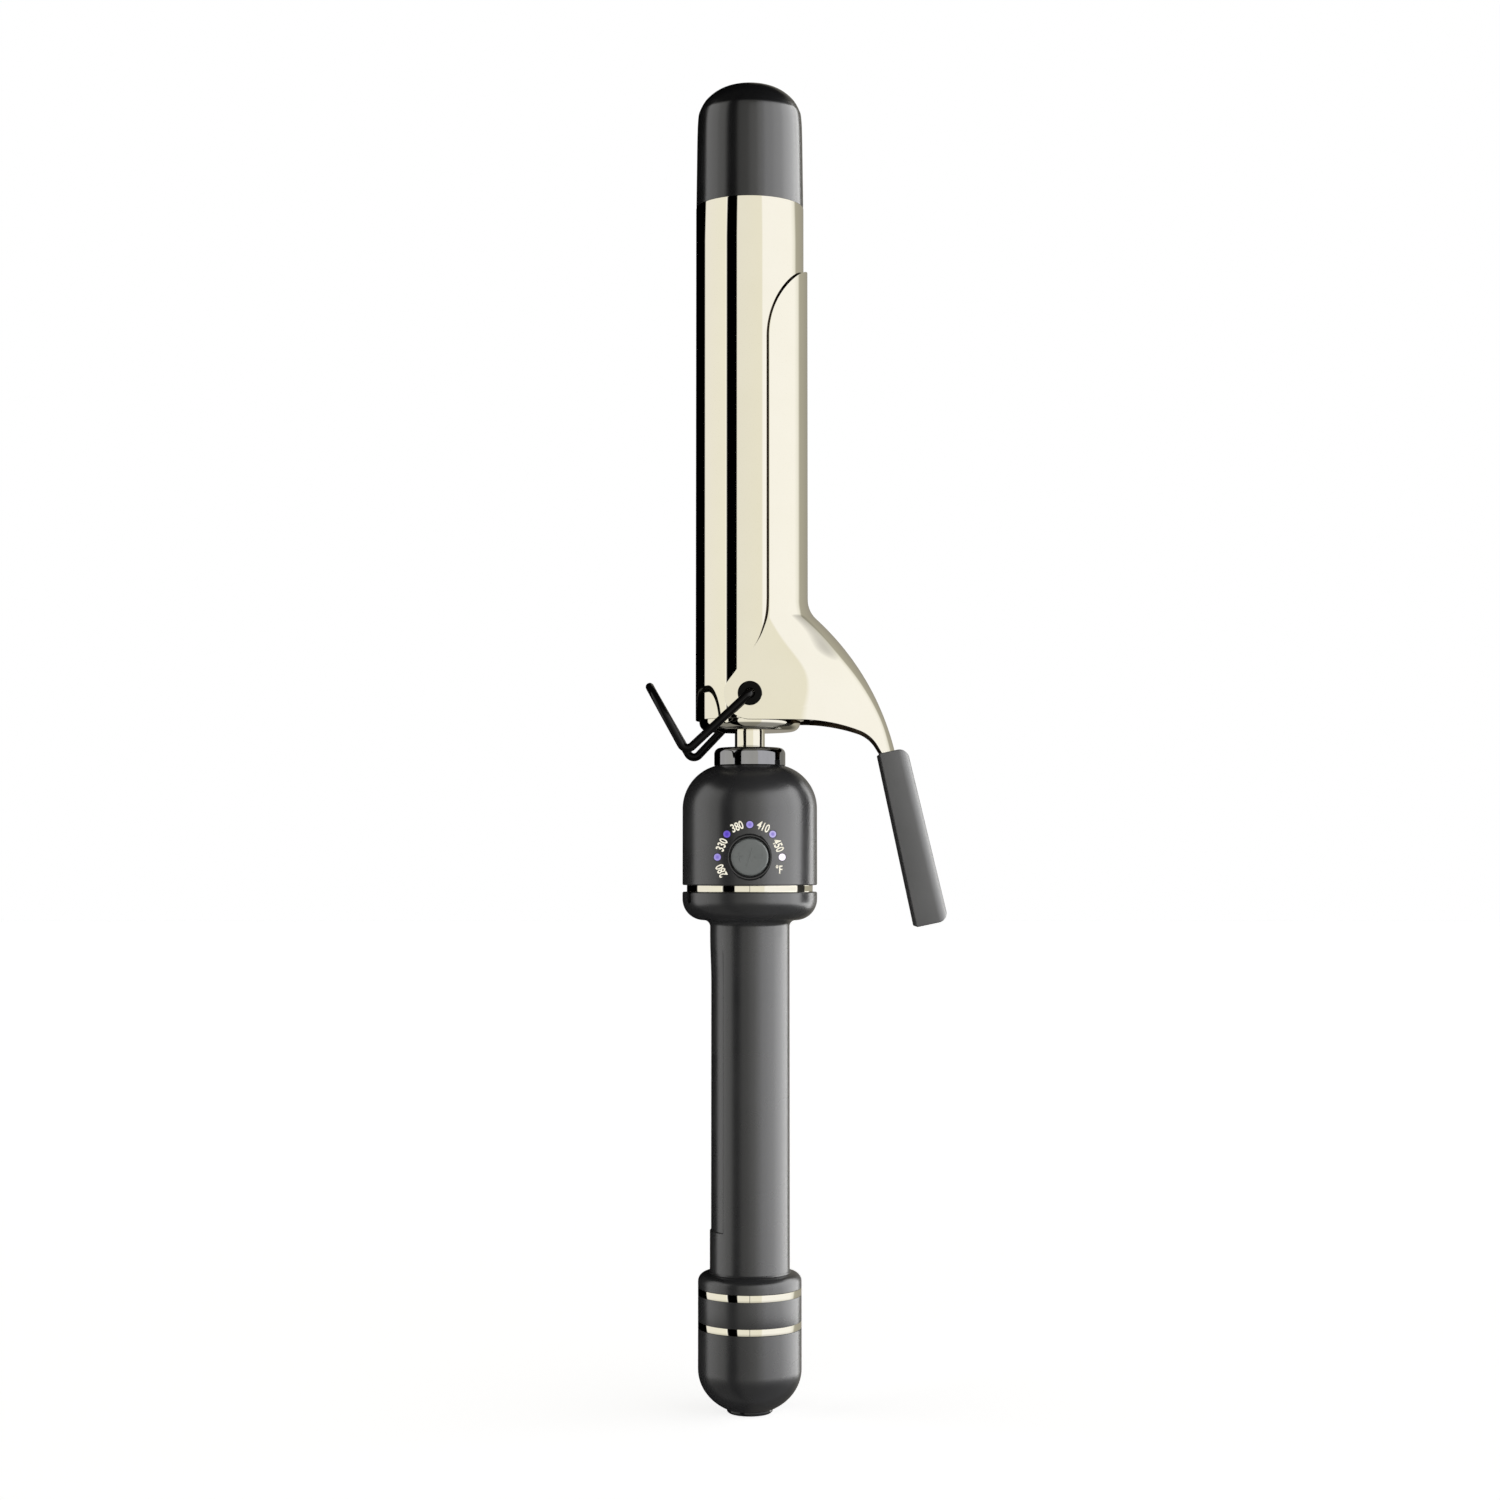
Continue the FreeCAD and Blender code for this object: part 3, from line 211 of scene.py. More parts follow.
def gloss_material(name, dark, light, rough, specular=0.5):
    """Glossy moulded or coated surface with a trace of orange peel."""
    mat, nodes, links, shader = new_material(name)
    shader.inputs["Specular IOR Level"].default_value = specular
    vary(nodes, links, shader, noise(nodes, links, 60.0, 3.0), dark, light, rough * 0.8, rough * 1.2)
    bump(nodes, links, shader, noise(nodes, links, 700.0, 1.0), 0.12, 0.00001)
    return mat


def metal_material(name, dark, light, rough_low, rough_high, stretch):
    """Plain metal with drawn or brushed lines."""
    mat, nodes, links, shader = new_material(name)
    shader.inputs["Metallic"].default_value = 1.0
    lines = noise(nodes, links, 500.0, 4.0, stretch)
    vary(nodes, links, shader, lines, dark, light, rough_low, rough_high)
    return mat


def lens_material(name, core, edge, glow, x, z, radius):
    """Tinted light pipe: deep colour in the middle, paler towards the edge, and a dark rim of painted shade
    round the lens's edge.
    """
    mat, nodes, links, shader = new_material(name)
    place_node = nodes.new("ShaderNodeTexCoord")
    flat = nodes.new("ShaderNodeVectorMath")
    flat.operation = "MULTIPLY"
    flat.inputs[1].default_value = (1, 0, 1)
    links.new(place_node.outputs["Object"], flat.inputs[0])
    far = nodes.new("ShaderNodeVectorMath")
    far.operation = "DISTANCE"
    far.inputs[1].default_value = (x, 0, z)
    links.new(flat.outputs["Vector"], far.inputs[0])
    share = math_node(nodes, links, "DIVIDE", far.outputs["Value"], radius)
    grain = noise(nodes, links, 2500.0, 2.0)
    mixed = math_node(nodes, links, "MULTIPLY_ADD", grain, 0.08, share)
    # The last colour stop darkens the lens's outer ring: painted shade where the lens meets its hole.
    painted_shade_rim = tuple(c * 0.12 for c in core)
    color = color_stops(nodes, links, mixed, [(0.30, core), (0.72, edge), (0.90, edge), (1.0, painted_shade_rim)])
    links.new(color, shader.inputs["Base Color"])
    links.new(color, shader.inputs["Emission Color"])
    shader.inputs["Emission Strength"].default_value = glow
    shader.inputs["Roughness"].default_value = 0.22
    return mat


def print_material():
    """Cream printed figures, slightly uneven ink, with a faint glow that is painted light."""
    mat, nodes, links, shader = new_material("printed_figures")
    ink = noise(nodes, links, 1500.0, 3.0)
    color = tint(nodes, links, ink, (0.80, 0.76, 0.62), (0.93, 0.90, 0.78))
    links.new(color, shader.inputs["Base Color"])
    # The ink colour also feeds emission, so the figures glow though they are no lamp: painted light.
    links.new(color, shader.inputs["Emission Color"])
    shader.inputs["Emission Strength"].default_value = 0.35
    shader.inputs["Roughness"].default_value = 0.5
    return mat


GOLD = gold_material()
SATIN = satin_material("satin_black", (0.010, 0.010, 0.0105), (0.014, 0.014, 0.0145), 0.25, 0.30, 2600.0)
TIP = satin_material("tip_black", (0.003, 0.003, 0.0032), (0.0045, 0.0045, 0.0048), 0.19, 0.23, 3000.0)
PAD = satin_material("pad_black", (0.045, 0.045, 0.0455), (0.056, 0.056, 0.0565), 0.36, 0.42, 2200.0)
BUTTON = satin_material("button_grey", (0.066, 0.072, 0.070), (0.080, 0.087, 0.085), 0.34, 0.40, 2400.0)
GLOSS = gloss_material("gloss_black", (0.004, 0.004, 0.0045), (0.006, 0.006, 0.0065), 0.06)
COATED = gloss_material("coated_wire", (0.0015, 0.0014, 0.0014), (0.0025, 0.0023, 0.0022), 0.14, 0.08)
COLLAR = metal_material("black_nickel", (0.32, 0.32, 0.33), (0.36, 0.36, 0.37), 0.03, 0.06, (1.0, 1.0, 0.2))
UPRIGHT = (1.0, 1.0, 0.1)
# The clamp sheet's inside is a near-black brown metal: painted shade between sheet and barrel; only its
# rougher finish is the metal's own.
SHADE_INSIDE_DARK, SHADE_INSIDE_LIGHT = (0.055, 0.040, 0.028), (0.085, 0.062, 0.042)
SHADED_INSIDE = metal_material("unpolished_inside_painted_shade", SHADE_INSIDE_DARK, SHADE_INSIDE_LIGHT, 0.22, 0.34, UPRIGHT)
PRINT = print_material()
STEEL = metal_material("steel", (0.50, 0.50, 0.51), (0.62, 0.62, 0.63), 0.22, 0.38, UPRIGHT)
SPRING = metal_material("spring_steel", (0.34, 0.34, 0.36), (0.46, 0.46, 0.48), 0.2, 0.34, (0.1, 1.0, 1.0))
ALUMINIUM = metal_material("aluminium", (0.62, 0.63, 0.65), (0.74, 0.75, 0.77), 0.3, 0.5, (1.0, 1.0, 0.05))
BRASS = metal_material("brass", (0.66, 0.50, 0.22), (0.80, 0.64, 0.32), 0.2, 0.35, (1.0, 1.0, 0.2))
INSULATOR = satin_material("insulator", (0.26, 0.21, 0.14), (0.36, 0.30, 0.21), 0.5, 0.65, 900.0)
CERAMIC = satin_material("ceramic", (0.72, 0.70, 0.65), (0.83, 0.81, 0.77), 0.4, 0.55, 1200.0)
MICA = satin_material("mica", (0.52, 0.42, 0.22), (0.70, 0.60, 0.36), 0.25, 0.45, 600.0)
BOARD = satin_material("board", (0.012, 0.10, 0.035), (0.02, 0.15, 0.05), 0.25, 0.4, 800.0)
COMPONENT = satin_material("component", (0.012, 0.012, 0.013), (0.022, 0.022, 0.024), 0.4, 0.55, 1500.0)
CAPACITOR = gloss_material("capacitor", (0.55, 0.40, 0.04), (0.65, 0.48, 0.07), 0.3)
LED = gloss_material("led", (0.75, 0.75, 0.68), (0.88, 0.88, 0.80), 0.2)
LEAD = satin_material("lead", (0.55, 0.53, 0.50), (0.70, 0.68, 0.64), 0.45, 0.6, 1400.0)


# ---------------------------------------------------------------- mesh helpers
def face_outwards(mesh):
    """Turn the faces of a closed mesh outwards."""
    bm = bmesh.new()
    bm.from_mesh(mesh)
    bmesh.ops.recalc_face_normals(bm, faces=bm.faces)
    bm.to_mesh(mesh)
    bm.free()


def add_object(name, data):
    """New object in the scene's own collection."""
    obj = bpy.data.objects.new(name, data)
    bpy.context.scene.collection.objects.link(obj)
    return obj


def add_mesh(name, verts, faces, material, sharp_deg=32.0):
    """Object from points and faces, smooth except over sharp angles."""
    mesh = bpy.data.meshes.new(name)
    mesh.from_pydata([tuple(v) for v in verts], [], faces)
    mesh.validate()
    face_outwards(mesh)
    obj = add_object(name, mesh)
    mesh.materials.append(material)
    shade(obj, sharp_deg)
    return obj


def shade(obj, sharp_deg=32.0):
    """Smooth shading with edges above an angle kept sharp."""
    mesh = obj.data
    mesh.polygons.foreach_set("use_smooth", [True] * len(mesh.polygons))
    mesh.set_sharp_from_angle(angle=math.radians(sharp_deg))


def settle(obj):
    """Apply all modifiers to the mesh."""
    deps = bpy.context.evaluated_depsgraph_get()
    mesh = bpy.data.meshes.new_from_object(obj.evaluated_get(deps))
    obj.modifiers.clear()
    obj.data = mesh


def soften(profile, radius, steps=3, min_turn=20.0):
    """Round the corners of a closed outline of (r, z) points."""
    out = []
    count = len(profile)
    for i, p in enumerate(profile):
        a = np.array(profile[i - 1], float)
        b = np.array(p, float)
        c = np.array(profile[(i + 1) % count], float)
        u, v = a - b, c - b
        lu, lv = np.linalg.norm(u), np.linalg.norm(v)
        if lu < 1e-9 or lv < 1e-9:
            continue
        u, v = u / lu, v / lv
        turn = math.degrees(math.pi - math.acos(np.clip(np.dot(u, v), -1, 1)))
        if turn < min_turn or b[0] < 1e-9:
            out.append(tuple(b))
            continue
        half = math.radians(180 - turn) / 2
        reach = min(radius / math.tan(half), lu * 0.45, lv * 0.45)
        for k in range(steps + 1):
            t = k / steps
            q = (1 - t) ** 2 * (b + u * reach) + 2 * t * (1 - t) * b + t ** 2 * (b + v * reach)
            out.append(tuple(q))
    return out


def arc_points(centre, radius, from_deg, to_deg, steps):
    """Points of an arc in the (r, z) plane."""
    pts = []
    for k in range(steps + 1):
        a = math.radians(from_deg + (to_deg - from_deg) * k / steps)
        pts.append((centre[0] + radius * math.cos(a), centre[1] + radius * math.sin(a)))
    return pts


def lathe(name, profile, material, segments=192, tweak=None, azimuths=None):
    """Closed (r, z) outline turned about Z; tweak(r, z, azimuth) may change the radius."""
    if azimuths is None:
        azimuths = [2 * math.pi * k / segments for k in range(segments)]
    n = len(azimuths)
    verts = []
    rings = []
    for r, z in profile:
        if r < 1e-9:
            rings.append([len(verts)] * n)
            verts.append((0.0, 0.0, z))
            continue
        ring = []
        for az in azimuths:
            rr = tweak(r, z, az) if tweak else r
            ring.append(len(verts))
            verts.append((rr * math.cos(az), rr * math.sin(az), z))
        rings.append(ring)
    faces = []
    m = len(profile)
    for i in range(m):
        a, b = rings[i], rings[(i + 1) % m]
        if a[0] == a[1 % n] and b[0] == b[1 % n]:
            continue
        for k in range(n):
            k2 = (k + 1) % n
            quad = [a[k], a[k2], b[k2], b[k]]
            face = []
            for v in quad:
                if v not in face:
                    face.append(v)
            if len(face) > 2:
                faces.append(tuple(face))
    return add_mesh(name, verts, faces, material)


def split_lathe(name, profile, material, gap, segments=256):
    """Open ring: an outline turned about Z with a butt joint at -Y."""
    r_out = max(r for r, z in profile)
    half = gap / 2 / r_out
    start = -math.pi / 2 + half
    stop = 1.5 * math.pi - half
    verts = []
    m = len(profile)
    for k in range(segments + 1):
        az = start + (stop - start) * k / segments
        for r, z in profile:
            verts.append((r * math.cos(az), r * math.sin(az), z))
    faces = []
    for k in range(segments):
        for i in range(m):
            j = (i + 1) % m
            faces.append((k * m + i, k * m + j, (k + 1) * m + j, (k + 1) * m + i))
    faces.append(tuple(range(m)))
    faces.append(tuple(segments * m + i for i in range(m - 1, -1, -1)))
    return add_mesh(name, verts, faces, material)


def tube(name, points, radius, material, sides=28):
    """Round tube along a smooth polyline with rounded ends."""
    pts = [Vector(p) for p in points]
    rings = []
    verts = []
    normal = None
    for i, p in enumerate(pts):
        a = pts[max(i - 1, 0)]
        b = pts[min(i + 1, len(pts) - 1)]
        t = (b - a).normalized()
        if normal is None:
            normal = t.orthogonal().normalized()
        normal = (normal - t * normal.dot(t)).normalized()
        side = t.cross(normal)
        ring = []
        for k in range(sides):
            ang = 2 * math.pi * k / sides
            ring.append(len(verts))
            verts.append(p + normal * radius * math.cos(ang) + side * radius * math.sin(ang))
        rings.append(ring)
    faces = []
    for a, b in zip(rings, rings[1:]):
        for k in range(sides):
            k2 = (k + 1) % sides
            faces.append((a[k], a[k2], b[k2], b[k]))
    faces.append(tuple(reversed(rings[0])))
    faces.append(tuple(rings[-1]))
    return add_mesh(name, verts, faces, material, 50.0)


def rounded_points(points, radii, steps=10):
    """Polyline through points with its corners rounded by arcs."""
    out = [Vector(points[0])]
    for i, radius in enumerate(radii):
        corner = Vector(points[i + 1])
        back = (Vector(points[i]) - corner).normalized()
        ahead = (Vector(points[i + 2]) - corner).normalized()
        half = back.angle(ahead) / 2
        reach = radius / math.tan(half)
        bis = (back + ahead).normalized()
        centre = corner + bis * (radius / math.sin(half))
        start = corner + back * reach
        end = corner + ahead * reach
        u = start - centre
        v = end - centre
        whole = u.angle(v)
        for k in range(steps + 1):
            t = k / steps
            w = (u * math.sin((1 - t) * whole) + v * math.sin(t * whole)) / math.sin(whole)
            out.append(centre + w)
    out.append(Vector(points[-1]))
    return out


def denser(points, step):
    """Insert points so that no run is longer than step."""
    out = [points[0]]
    for a, b in zip(points, points[1:]):
        n = max(1, int(math.ceil((b - a).length / step)))
        for k in range(1, n + 1):
            out.append(a + (b - a) * k / n)
    return out


def spread(profile, step):
    """Divide the long runs of an (r, z) outline; closed."""
    out = []
    m = len(profile)
    for i in range(m):
        a = np.array(profile[i], float)
        b = np.array(profile[(i + 1) % m], float)
        n = max(1, int(math.ceil(np.linalg.norm(b - a) / step)))
        for k in range(n):
            out.append(tuple(a + (b - a) * k / n))
    return out


def prism(name, near, far, material):
    """Closed body between two matching outlines."""
    n = len(near)
    faces = [tuple(range(n)), tuple(range(2 * n - 1, n - 1, -1))]
    for k in range(n):
        k2 = (k + 1) % n
        faces.append((k, n + k, n + k2, k2))
    return add_mesh(name, near + far, faces, material)


def circle_y(radius, y, x, z, sides):
    """Points of a circle about an axis along Y."""
    angles = [2 * math.pi * k / sides for k in range(sides)]
    return [(x + radius * math.cos(a), y, z + radius * math.sin(a)) for a in angles]


def cylinder_y(name, radius, y0, y1, x, z, sides=96, end_radius=None):
    """Cutter along Y, straight or tapered."""
    near = circle_y(radius, y0, x, z, sides)
    return prism(name, near, circle_y(end_radius or radius, y1, x, z, sides), SATIN)


def combine(obj, other, operation):
    """Apply one exact boolean to obj."""
    mod = obj.modifiers.new("cut", "BOOLEAN")
    mod.operation = operation
    mod.solver = "EXACT"
    mod.object = other
    bpy.context.view_layer.update()
    settle(obj)


def carve(obj, cutters):
    """Cut each cutter out of obj and remove the cutters."""
    for cutter in cutters:
        combine(obj, cutter, "DIFFERENCE")
    for cutter in cutters:
        bpy.data.objects.remove(cutter)


def place(obj, body, material_slot, *nodes):
    """Ride on a body and stand for CAD nodes; material_slot is not used."""
    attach(obj, body)
    if nodes:
        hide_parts(*nodes)
    return obj


# ---------------------------------------------------------------- barrel and tip
def build_tip():
    """Satin cap: short shadow groove at the barrel, slight taper, domed end."""
    z, top, r = BARREL_TOP, TIP_TOP, BARREL_R
    inner = low("cool_tip").z
    side = [(0.10, 0.0), (0.08, 1.3), (0.12, 5.0), (0.18, 9.7), (0.24, 14.5)]
    side += [(0.30, 19.3), (0.37, 22.6), (0.46, 25.3)]
    points = [(r - d * MM, z + h * MM) for d, h in side]
    crown = [(0.69, 8.8), (1.05, 7.7), (1.65, 6.4), (2.45, 5.1), (3.45, 4.0), (4.9, 2.75), (6.5, 1.75)]
    crown += [(8.1, 1.05), (9.9, 0.55), (12.0, 0.2), (14.0, 0.05)]
    points += [(r - d * MM, top - h * MM) for d, h in crown]
    outer = smooth_profile(points, 0.0, top, 60)
    bore = SPIGOT_R - 2 * MM
    profile = [(bore, inner), (SPIGOT_R, inner), (SPIGOT_R, z)] + outer + [(0.0, top)]
    profile += [(0.0, top - 3 * MM), (r - 8 * MM, top - 6 * MM), (bore, top - 11 * MM)]
    return place(lathe("tip_cap", profile, TIP), "iron", "tip_black", "cool_tip")


def catmull(corners, t):
    """Point of a Catmull-Rom span between the middle two of four corners."""
    a, b, c, d = corners
    bend = 2 * a - 5 * b + 4 * c - d
    return 0.5 * (2 * b + (c - a) * t + bend * t ** 2 + (3 * b - a - 3 * c + d) * t ** 3)


def smooth_profile(points, r_end, z_end, count):
    """Catmull-Rom through (r, z) points, ending level at the axis."""
    pts = [np.array(p, float) for p in points] + [np.array((r_end, z_end), float)]
    ends = [pts[0] * 2 - pts[1]] + pts + [np.array((-pts[-2][0], pts[-2][1]))]
    out = []
    spans = len(pts) - 1
    per = max(2, count // spans)
    for i in range(spans):
        for k in range(per):
            q = catmull(ends[i:i + 4], k / per)
            out.append((max(float(q[0]), 1e-6), float(q[1])))
    return out


def build_barrel():
    """Plated tube, its ends rolled over slightly."""
    inner = BARREL_R - 1.3 * MM
    outline = [(BARREL_R, BARREL_Z), (BARREL_R, BARREL_TOP), (inner, BARREL_TOP), (inner, BARREL_Z)]
    profile = soften(outline, 0.25 * MM)
    return place(lathe("barrel", spread(profile, 12 * MM), GOLD, 384), "iron", "gold_plate", "barrel_tube")


def build_base_cap():
    """Gold cup under the barrel with a rolled lower edge."""
    r, step, edge = CAP_R, SPIGOT_R, 2.6 * MM
    top = high("barrel_base_cap").z
    hole = NECK_R + 0.02 * MM
    floor_top = CAP_Z + CAP_FLOOR
    profile = [(hole, CAP_Z), (r - edge, CAP_Z)]
    profile += arc_points((r - edge, CAP_Z + edge), edge, -90, 0, 12)[1:]
    profile += [(r, BARREL_Z), (step, BARREL_Z), (step, top), (step - 1.4 * MM, top)]
    profile += [(step - 1.4 * MM, BARREL_Z), (r - edge, floor_top), (hole, floor_top)]
    return place(lathe("base_cap", profile, GOLD, 256), "iron", "gold_plate", "barrel_base_cap")


def build_neck():
    """Gold neck tube, flanged where it sits on the cap's floor."""
    lo, hi = low("neck_tube").z, high("neck_tube").z
    floor_top = CAP_Z + CAP_FLOOR
    inner = 3.5 * MM
    flange = NECK_R + 2.2 * MM
    profile = [(inner, lo), (NECK_R, lo), (NECK_R, floor_top), (flange, floor_top)]
    profile += [(flange, hi), (inner, hi)]
    return place(lathe("neck", soften(profile, 0.15 * MM), GOLD, 128), "iron", "gold_plate", "neck_tube")


def build_collar():
    """Glossy heat collar with a round upper edge."""
    r, top, edge = COLLAR_R, COLLAR_TOP, 1.8 * MM
    base = low("neck_collar").z
    hole = NECK_R + NECK_EASE
    profile = [(hole, base), (r - 0.3 * MM, base), (r, base + 0.3 * MM)]
    profile += arc_points((r - edge, top - edge), edge, 0, 90, 12)
    profile += [(hole + 0.4 * MM, top), (hole, top - 0.3 * MM)]
    return place(lathe("neck_ring", profile, COLLAR, 192), "iron", "gloss_black", "neck_collar")


# ---------------------------------------------------------------- housing
LENS_ANGLES = (180, 135, 90, 45, 0)
LENS_CIRCLE = 9.25 * MM
LENS_R = 1.1 * MM
LENS_LOOKS = [
    ((0.20, 0.15, 0.58), (0.33, 0.28, 0.68), 0.30),
    ((0.09, 0.05, 0.46), (0.14, 0.09, 0.54), 0.38),
    ((0.20, 0.15, 0.58), (0.34, 0.29, 0.70), 0.30),
    ((0.25, 0.20, 0.58), (0.46, 0.42, 0.74), 0.30),
    ((0.74, 0.68, 0.86), (0.86, 0.80, 0.92), 0.55),
]
BUTTON_R = 5.3 * MM
BUTTON_GAP = 0.35 * MM
BUTTON_FLOOR = -(HOUSING_R - 1.12 * MM)
RECESS_FLOOR_R = 6.25 * MM
RECESS_RIM_R = 6.7 * MM


def lens_place(degrees):
    a = math.radians(degrees)
    return LENS_CIRCLE * math.cos(a), BUTTON_Z + LENS_CIRCLE * math.sin(a)


def build_dome():
    """Upper shell with the button's flat recess, bore and lens holes cut in."""
    arc, wall = 13.0 * MM, 2.2 * MM
    cr, cz = HOUSING_R - arc, DOME_TOP - 12.4 * MM
    seat = math.degrees(math.asin((DOME_TOP - cz) / arc))
    inner_top = DOME_TOP - wall
    inner_seat = math.degrees(math.asin((inner_top - cz) / (arc - wall)))
    rim_in = TRIM_R - 1.99 * MM
    rim_top = CUP_RIM + 5.1 * MM
    hole = NECK_R + NECK_EASE
    profile = [(rim_in, DOME_Z), (HOUSING_R - 0.25 * MM, DOME_Z), (HOUSING_R, DOME_Z + 0.25 * MM)]
    rows = 26
    for k in range(1, rows + 1):
        profile.append((HOUSING_R, DOME_Z + 0.25 * MM + (cz - DOME_Z - 0.25 * MM) * k / rows))
    profile += arc_points((cr, cz), arc, 0, seat, 24)[1:]
    profile += [(hole, DOME_TOP), (hole, inner_top)]
    profile += arc_points((cr, cz), arc - wall, inner_seat, 0, 12)
    profile += [(HOUSING_R - wall, rim_top), (rim_in, rim_top)]
    dome = lathe("dome_shell", profile, SATIN, 288)
    back = BUTTON_FLOOR + 2.65 * MM
    boss = cylinder_y("boss", BUTTON_R + 2.2 * MM, -(HOUSING_R - 2.6 * MM), back, 0, BUTTON_Z)
    combine(dome, boss, "UNION")
    bpy.data.objects.remove(boss)
    front = -HOUSING_R - 3 * MM
    flare = (RECESS_RIM_R - RECESS_FLOOR_R) / (HOUSING_R + BUTTON_FLOOR)
    wide = RECESS_FLOOR_R + flare * (BUTTON_FLOOR - front)
    cutters = [cylinder_y("recess", wide, front, BUTTON_FLOOR, 0, BUTTON_Z, 144, RECESS_FLOOR_R)]
    bore = BUTTON_R + BUTTON_GAP
    lip = 0.3 * MM
    lip_from, lip_to = BUTTON_FLOOR - 3 * lip, BUTTON_FLOOR + lip
    cutters.append(cylinder_y("lip", bore + 4 * lip, lip_from, lip_to, 0, BUTTON_Z, 144, bore))
    cutters.append(cylinder_y("bore", bore, front, back + 1 * MM, 0, BUTTON_Z, 144))
    cutters.append(cylinder_y("room", BUTTON_R + 1.3 * MM, back, INSIDE_Y, 0, BUTTON_Z))
    for degrees in LENS_ANGLES:
        x, z = lens_place(degrees)
        cutters.append(cylinder_y("hole", LENS_R + 0.08 * MM, front, INSIDE_Y, x, z, 48))
    carve(dome, cutters)
    shade(dome, 30.0)
    return place(dome, "iron", "satin_black", "housing_dome")


def build_lenses():
    """Five light pipes; each end follows the housing and is slightly crowned."""
    for number, degrees in enumerate(LENS_ANGLES, start=1):
        x, z = lens_place(degrees)
        node = f"indicator_lens_{number}"
        back = high(node).y
        rings, sides = 8, 48
        r = LENS_R
        proud = HOUSING_R + 0.08 * MM
        verts = [(x, -math.sqrt(proud ** 2 - x ** 2), z)]
        faces = []
        for i in range(1, rings + 1):
            rr = r * i / rings
            for k in range(sides):
                a = 2 * math.pi * k / sides
                px, pz = x + rr * math.cos(a), z + rr * math.sin(a)
                sink = 0.12 * MM * (i / rings) ** 4
                verts.append((px, -math.sqrt(proud ** 2 - px ** 2) + sink, pz))
        verts += circle_y(r, back, x, z, sides)
        for k in range(sides):
            k2 = (k + 1) % sides
            faces.append((0, 1 + k, 1 + k2))
            for i in range(rings):
                a, b = 1 + i * sides, 1 + (i + 1) * sides
                faces.append((a + k, b + k, b + k2, a + k2))
        last = 1 + rings * sides
        faces.append(tuple(last + k for k in range(sides)))
        core, edge, glow = LENS_LOOKS[number - 1]
        look = lens_material(f"lens_{number}", core, edge, glow, x, z, r)
        obj = add_mesh(f"lens_{number}", verts, faces, look, 40.0)
        place(obj, "iron", "lens", node)


def disc_y(profile, material, name, x, z, segments=96):
    """Closed (radius, y) outline turned about an axis along Y."""
    obj = lathe(name, profile, material, segments)
    for v in obj.data.vertices:
        px, py, pz = v.co
        v.co = (x + px, pz, z + py)
    face_outwards(obj.data)
    shade(obj)
    return obj


def bar(x0, z0, x1, z1, width, y_front, y_back, out):
    """Raised bar between two points on the button's face, added to (verts, faces)."""
    verts, faces = out
    d = np.array((x1 - x0, z1 - z0), float)
    d /= np.linalg.norm(d)
    n = np.array((-d[1], d[0])) * width / 2
    a, b = np.array((x0, z0)), np.array((x1, z1))
    f = len(verts)
    slope = 0.10 * MM
    for inset, y in ((0.0, y_back), (slope, y_front)):
        s = 1 - inset / (width / 2)
        for p, e in ((a, 1), (b, -1)):
            q = p + d * inset * e
            for sign in (1, -1):
                verts.append((q[0] + n[0] * sign * s, y, q[1] + n[1] * sign * s))
    faces += [(f, f + 1, f + 3, f + 2), (f + 4, f + 6, f + 7, f + 5)]
    faces += [(f, f + 4, f + 5, f + 1), (f + 2, f + 3, f + 7, f + 6)]
    faces += [(f, f + 2, f + 6, f + 4), (f + 1, f + 5, f + 7, f + 3)]


def build_button():
    """Round button with a soft edge and a raised plus, stroke and minus."""
    face = low("temperature_button").y
    back = high("temperature_button").y
    stop = BUTTON_FLOOR + 2.70 * MM
    rear = stop + 0.85 * MM
    r = BUTTON_R
    edge = 0.45 * MM
    profile = [(0.0, face), (r * 0.35, face), (r * 0.7, face), (r - edge, face)]
    profile += arc_points((r - edge, face + edge), edge, -90, 0, 6)[1:]
    profile += [(r, stop), (r + 0.9 * MM, stop), (r + 0.9 * MM, rear), (1.9 * MM, rear)]
    profile += [(1.9 * MM, back), (0.0, back)]
    obj = disc_y(profile, BUTTON, "button", 0, BUTTON_Z)
    marks = ([], [])
    y0, y1 = face - 0.07 * MM, face + 0.1 * MM
    z = BUTTON_Z
    arm, thick = 1.25 * MM, 0.6 * MM
    middle = -2.75 * MM
    bar(middle - arm, z, middle + arm, z, thick, y0, y1, marks)
    bar(middle, z + thick / 2, middle, z + arm, thick, y0, y1, marks)
    bar(middle, z - arm, middle, z - thick / 2, thick, y0, y1, marks)
    bar(-0.75 * MM, z - 2.6 * MM, 0.75 * MM, z + 2.6 * MM, 0.45 * MM, y0, y1, marks)
    bar(1.2 * MM, z, 3.9 * MM, z, 0.8 * MM, y0, y1, marks)
    relief = add_mesh("button_marks", marks[0], marks[1], BUTTON, 20.0)
    place(relief, "button", "button")
    return place(obj, "button", "button", "temperature_button")


FIGURE_HEIGHT = 2.5 * MM
FIGURE_WIDTH = 0.72
INK = 0.04 * MM


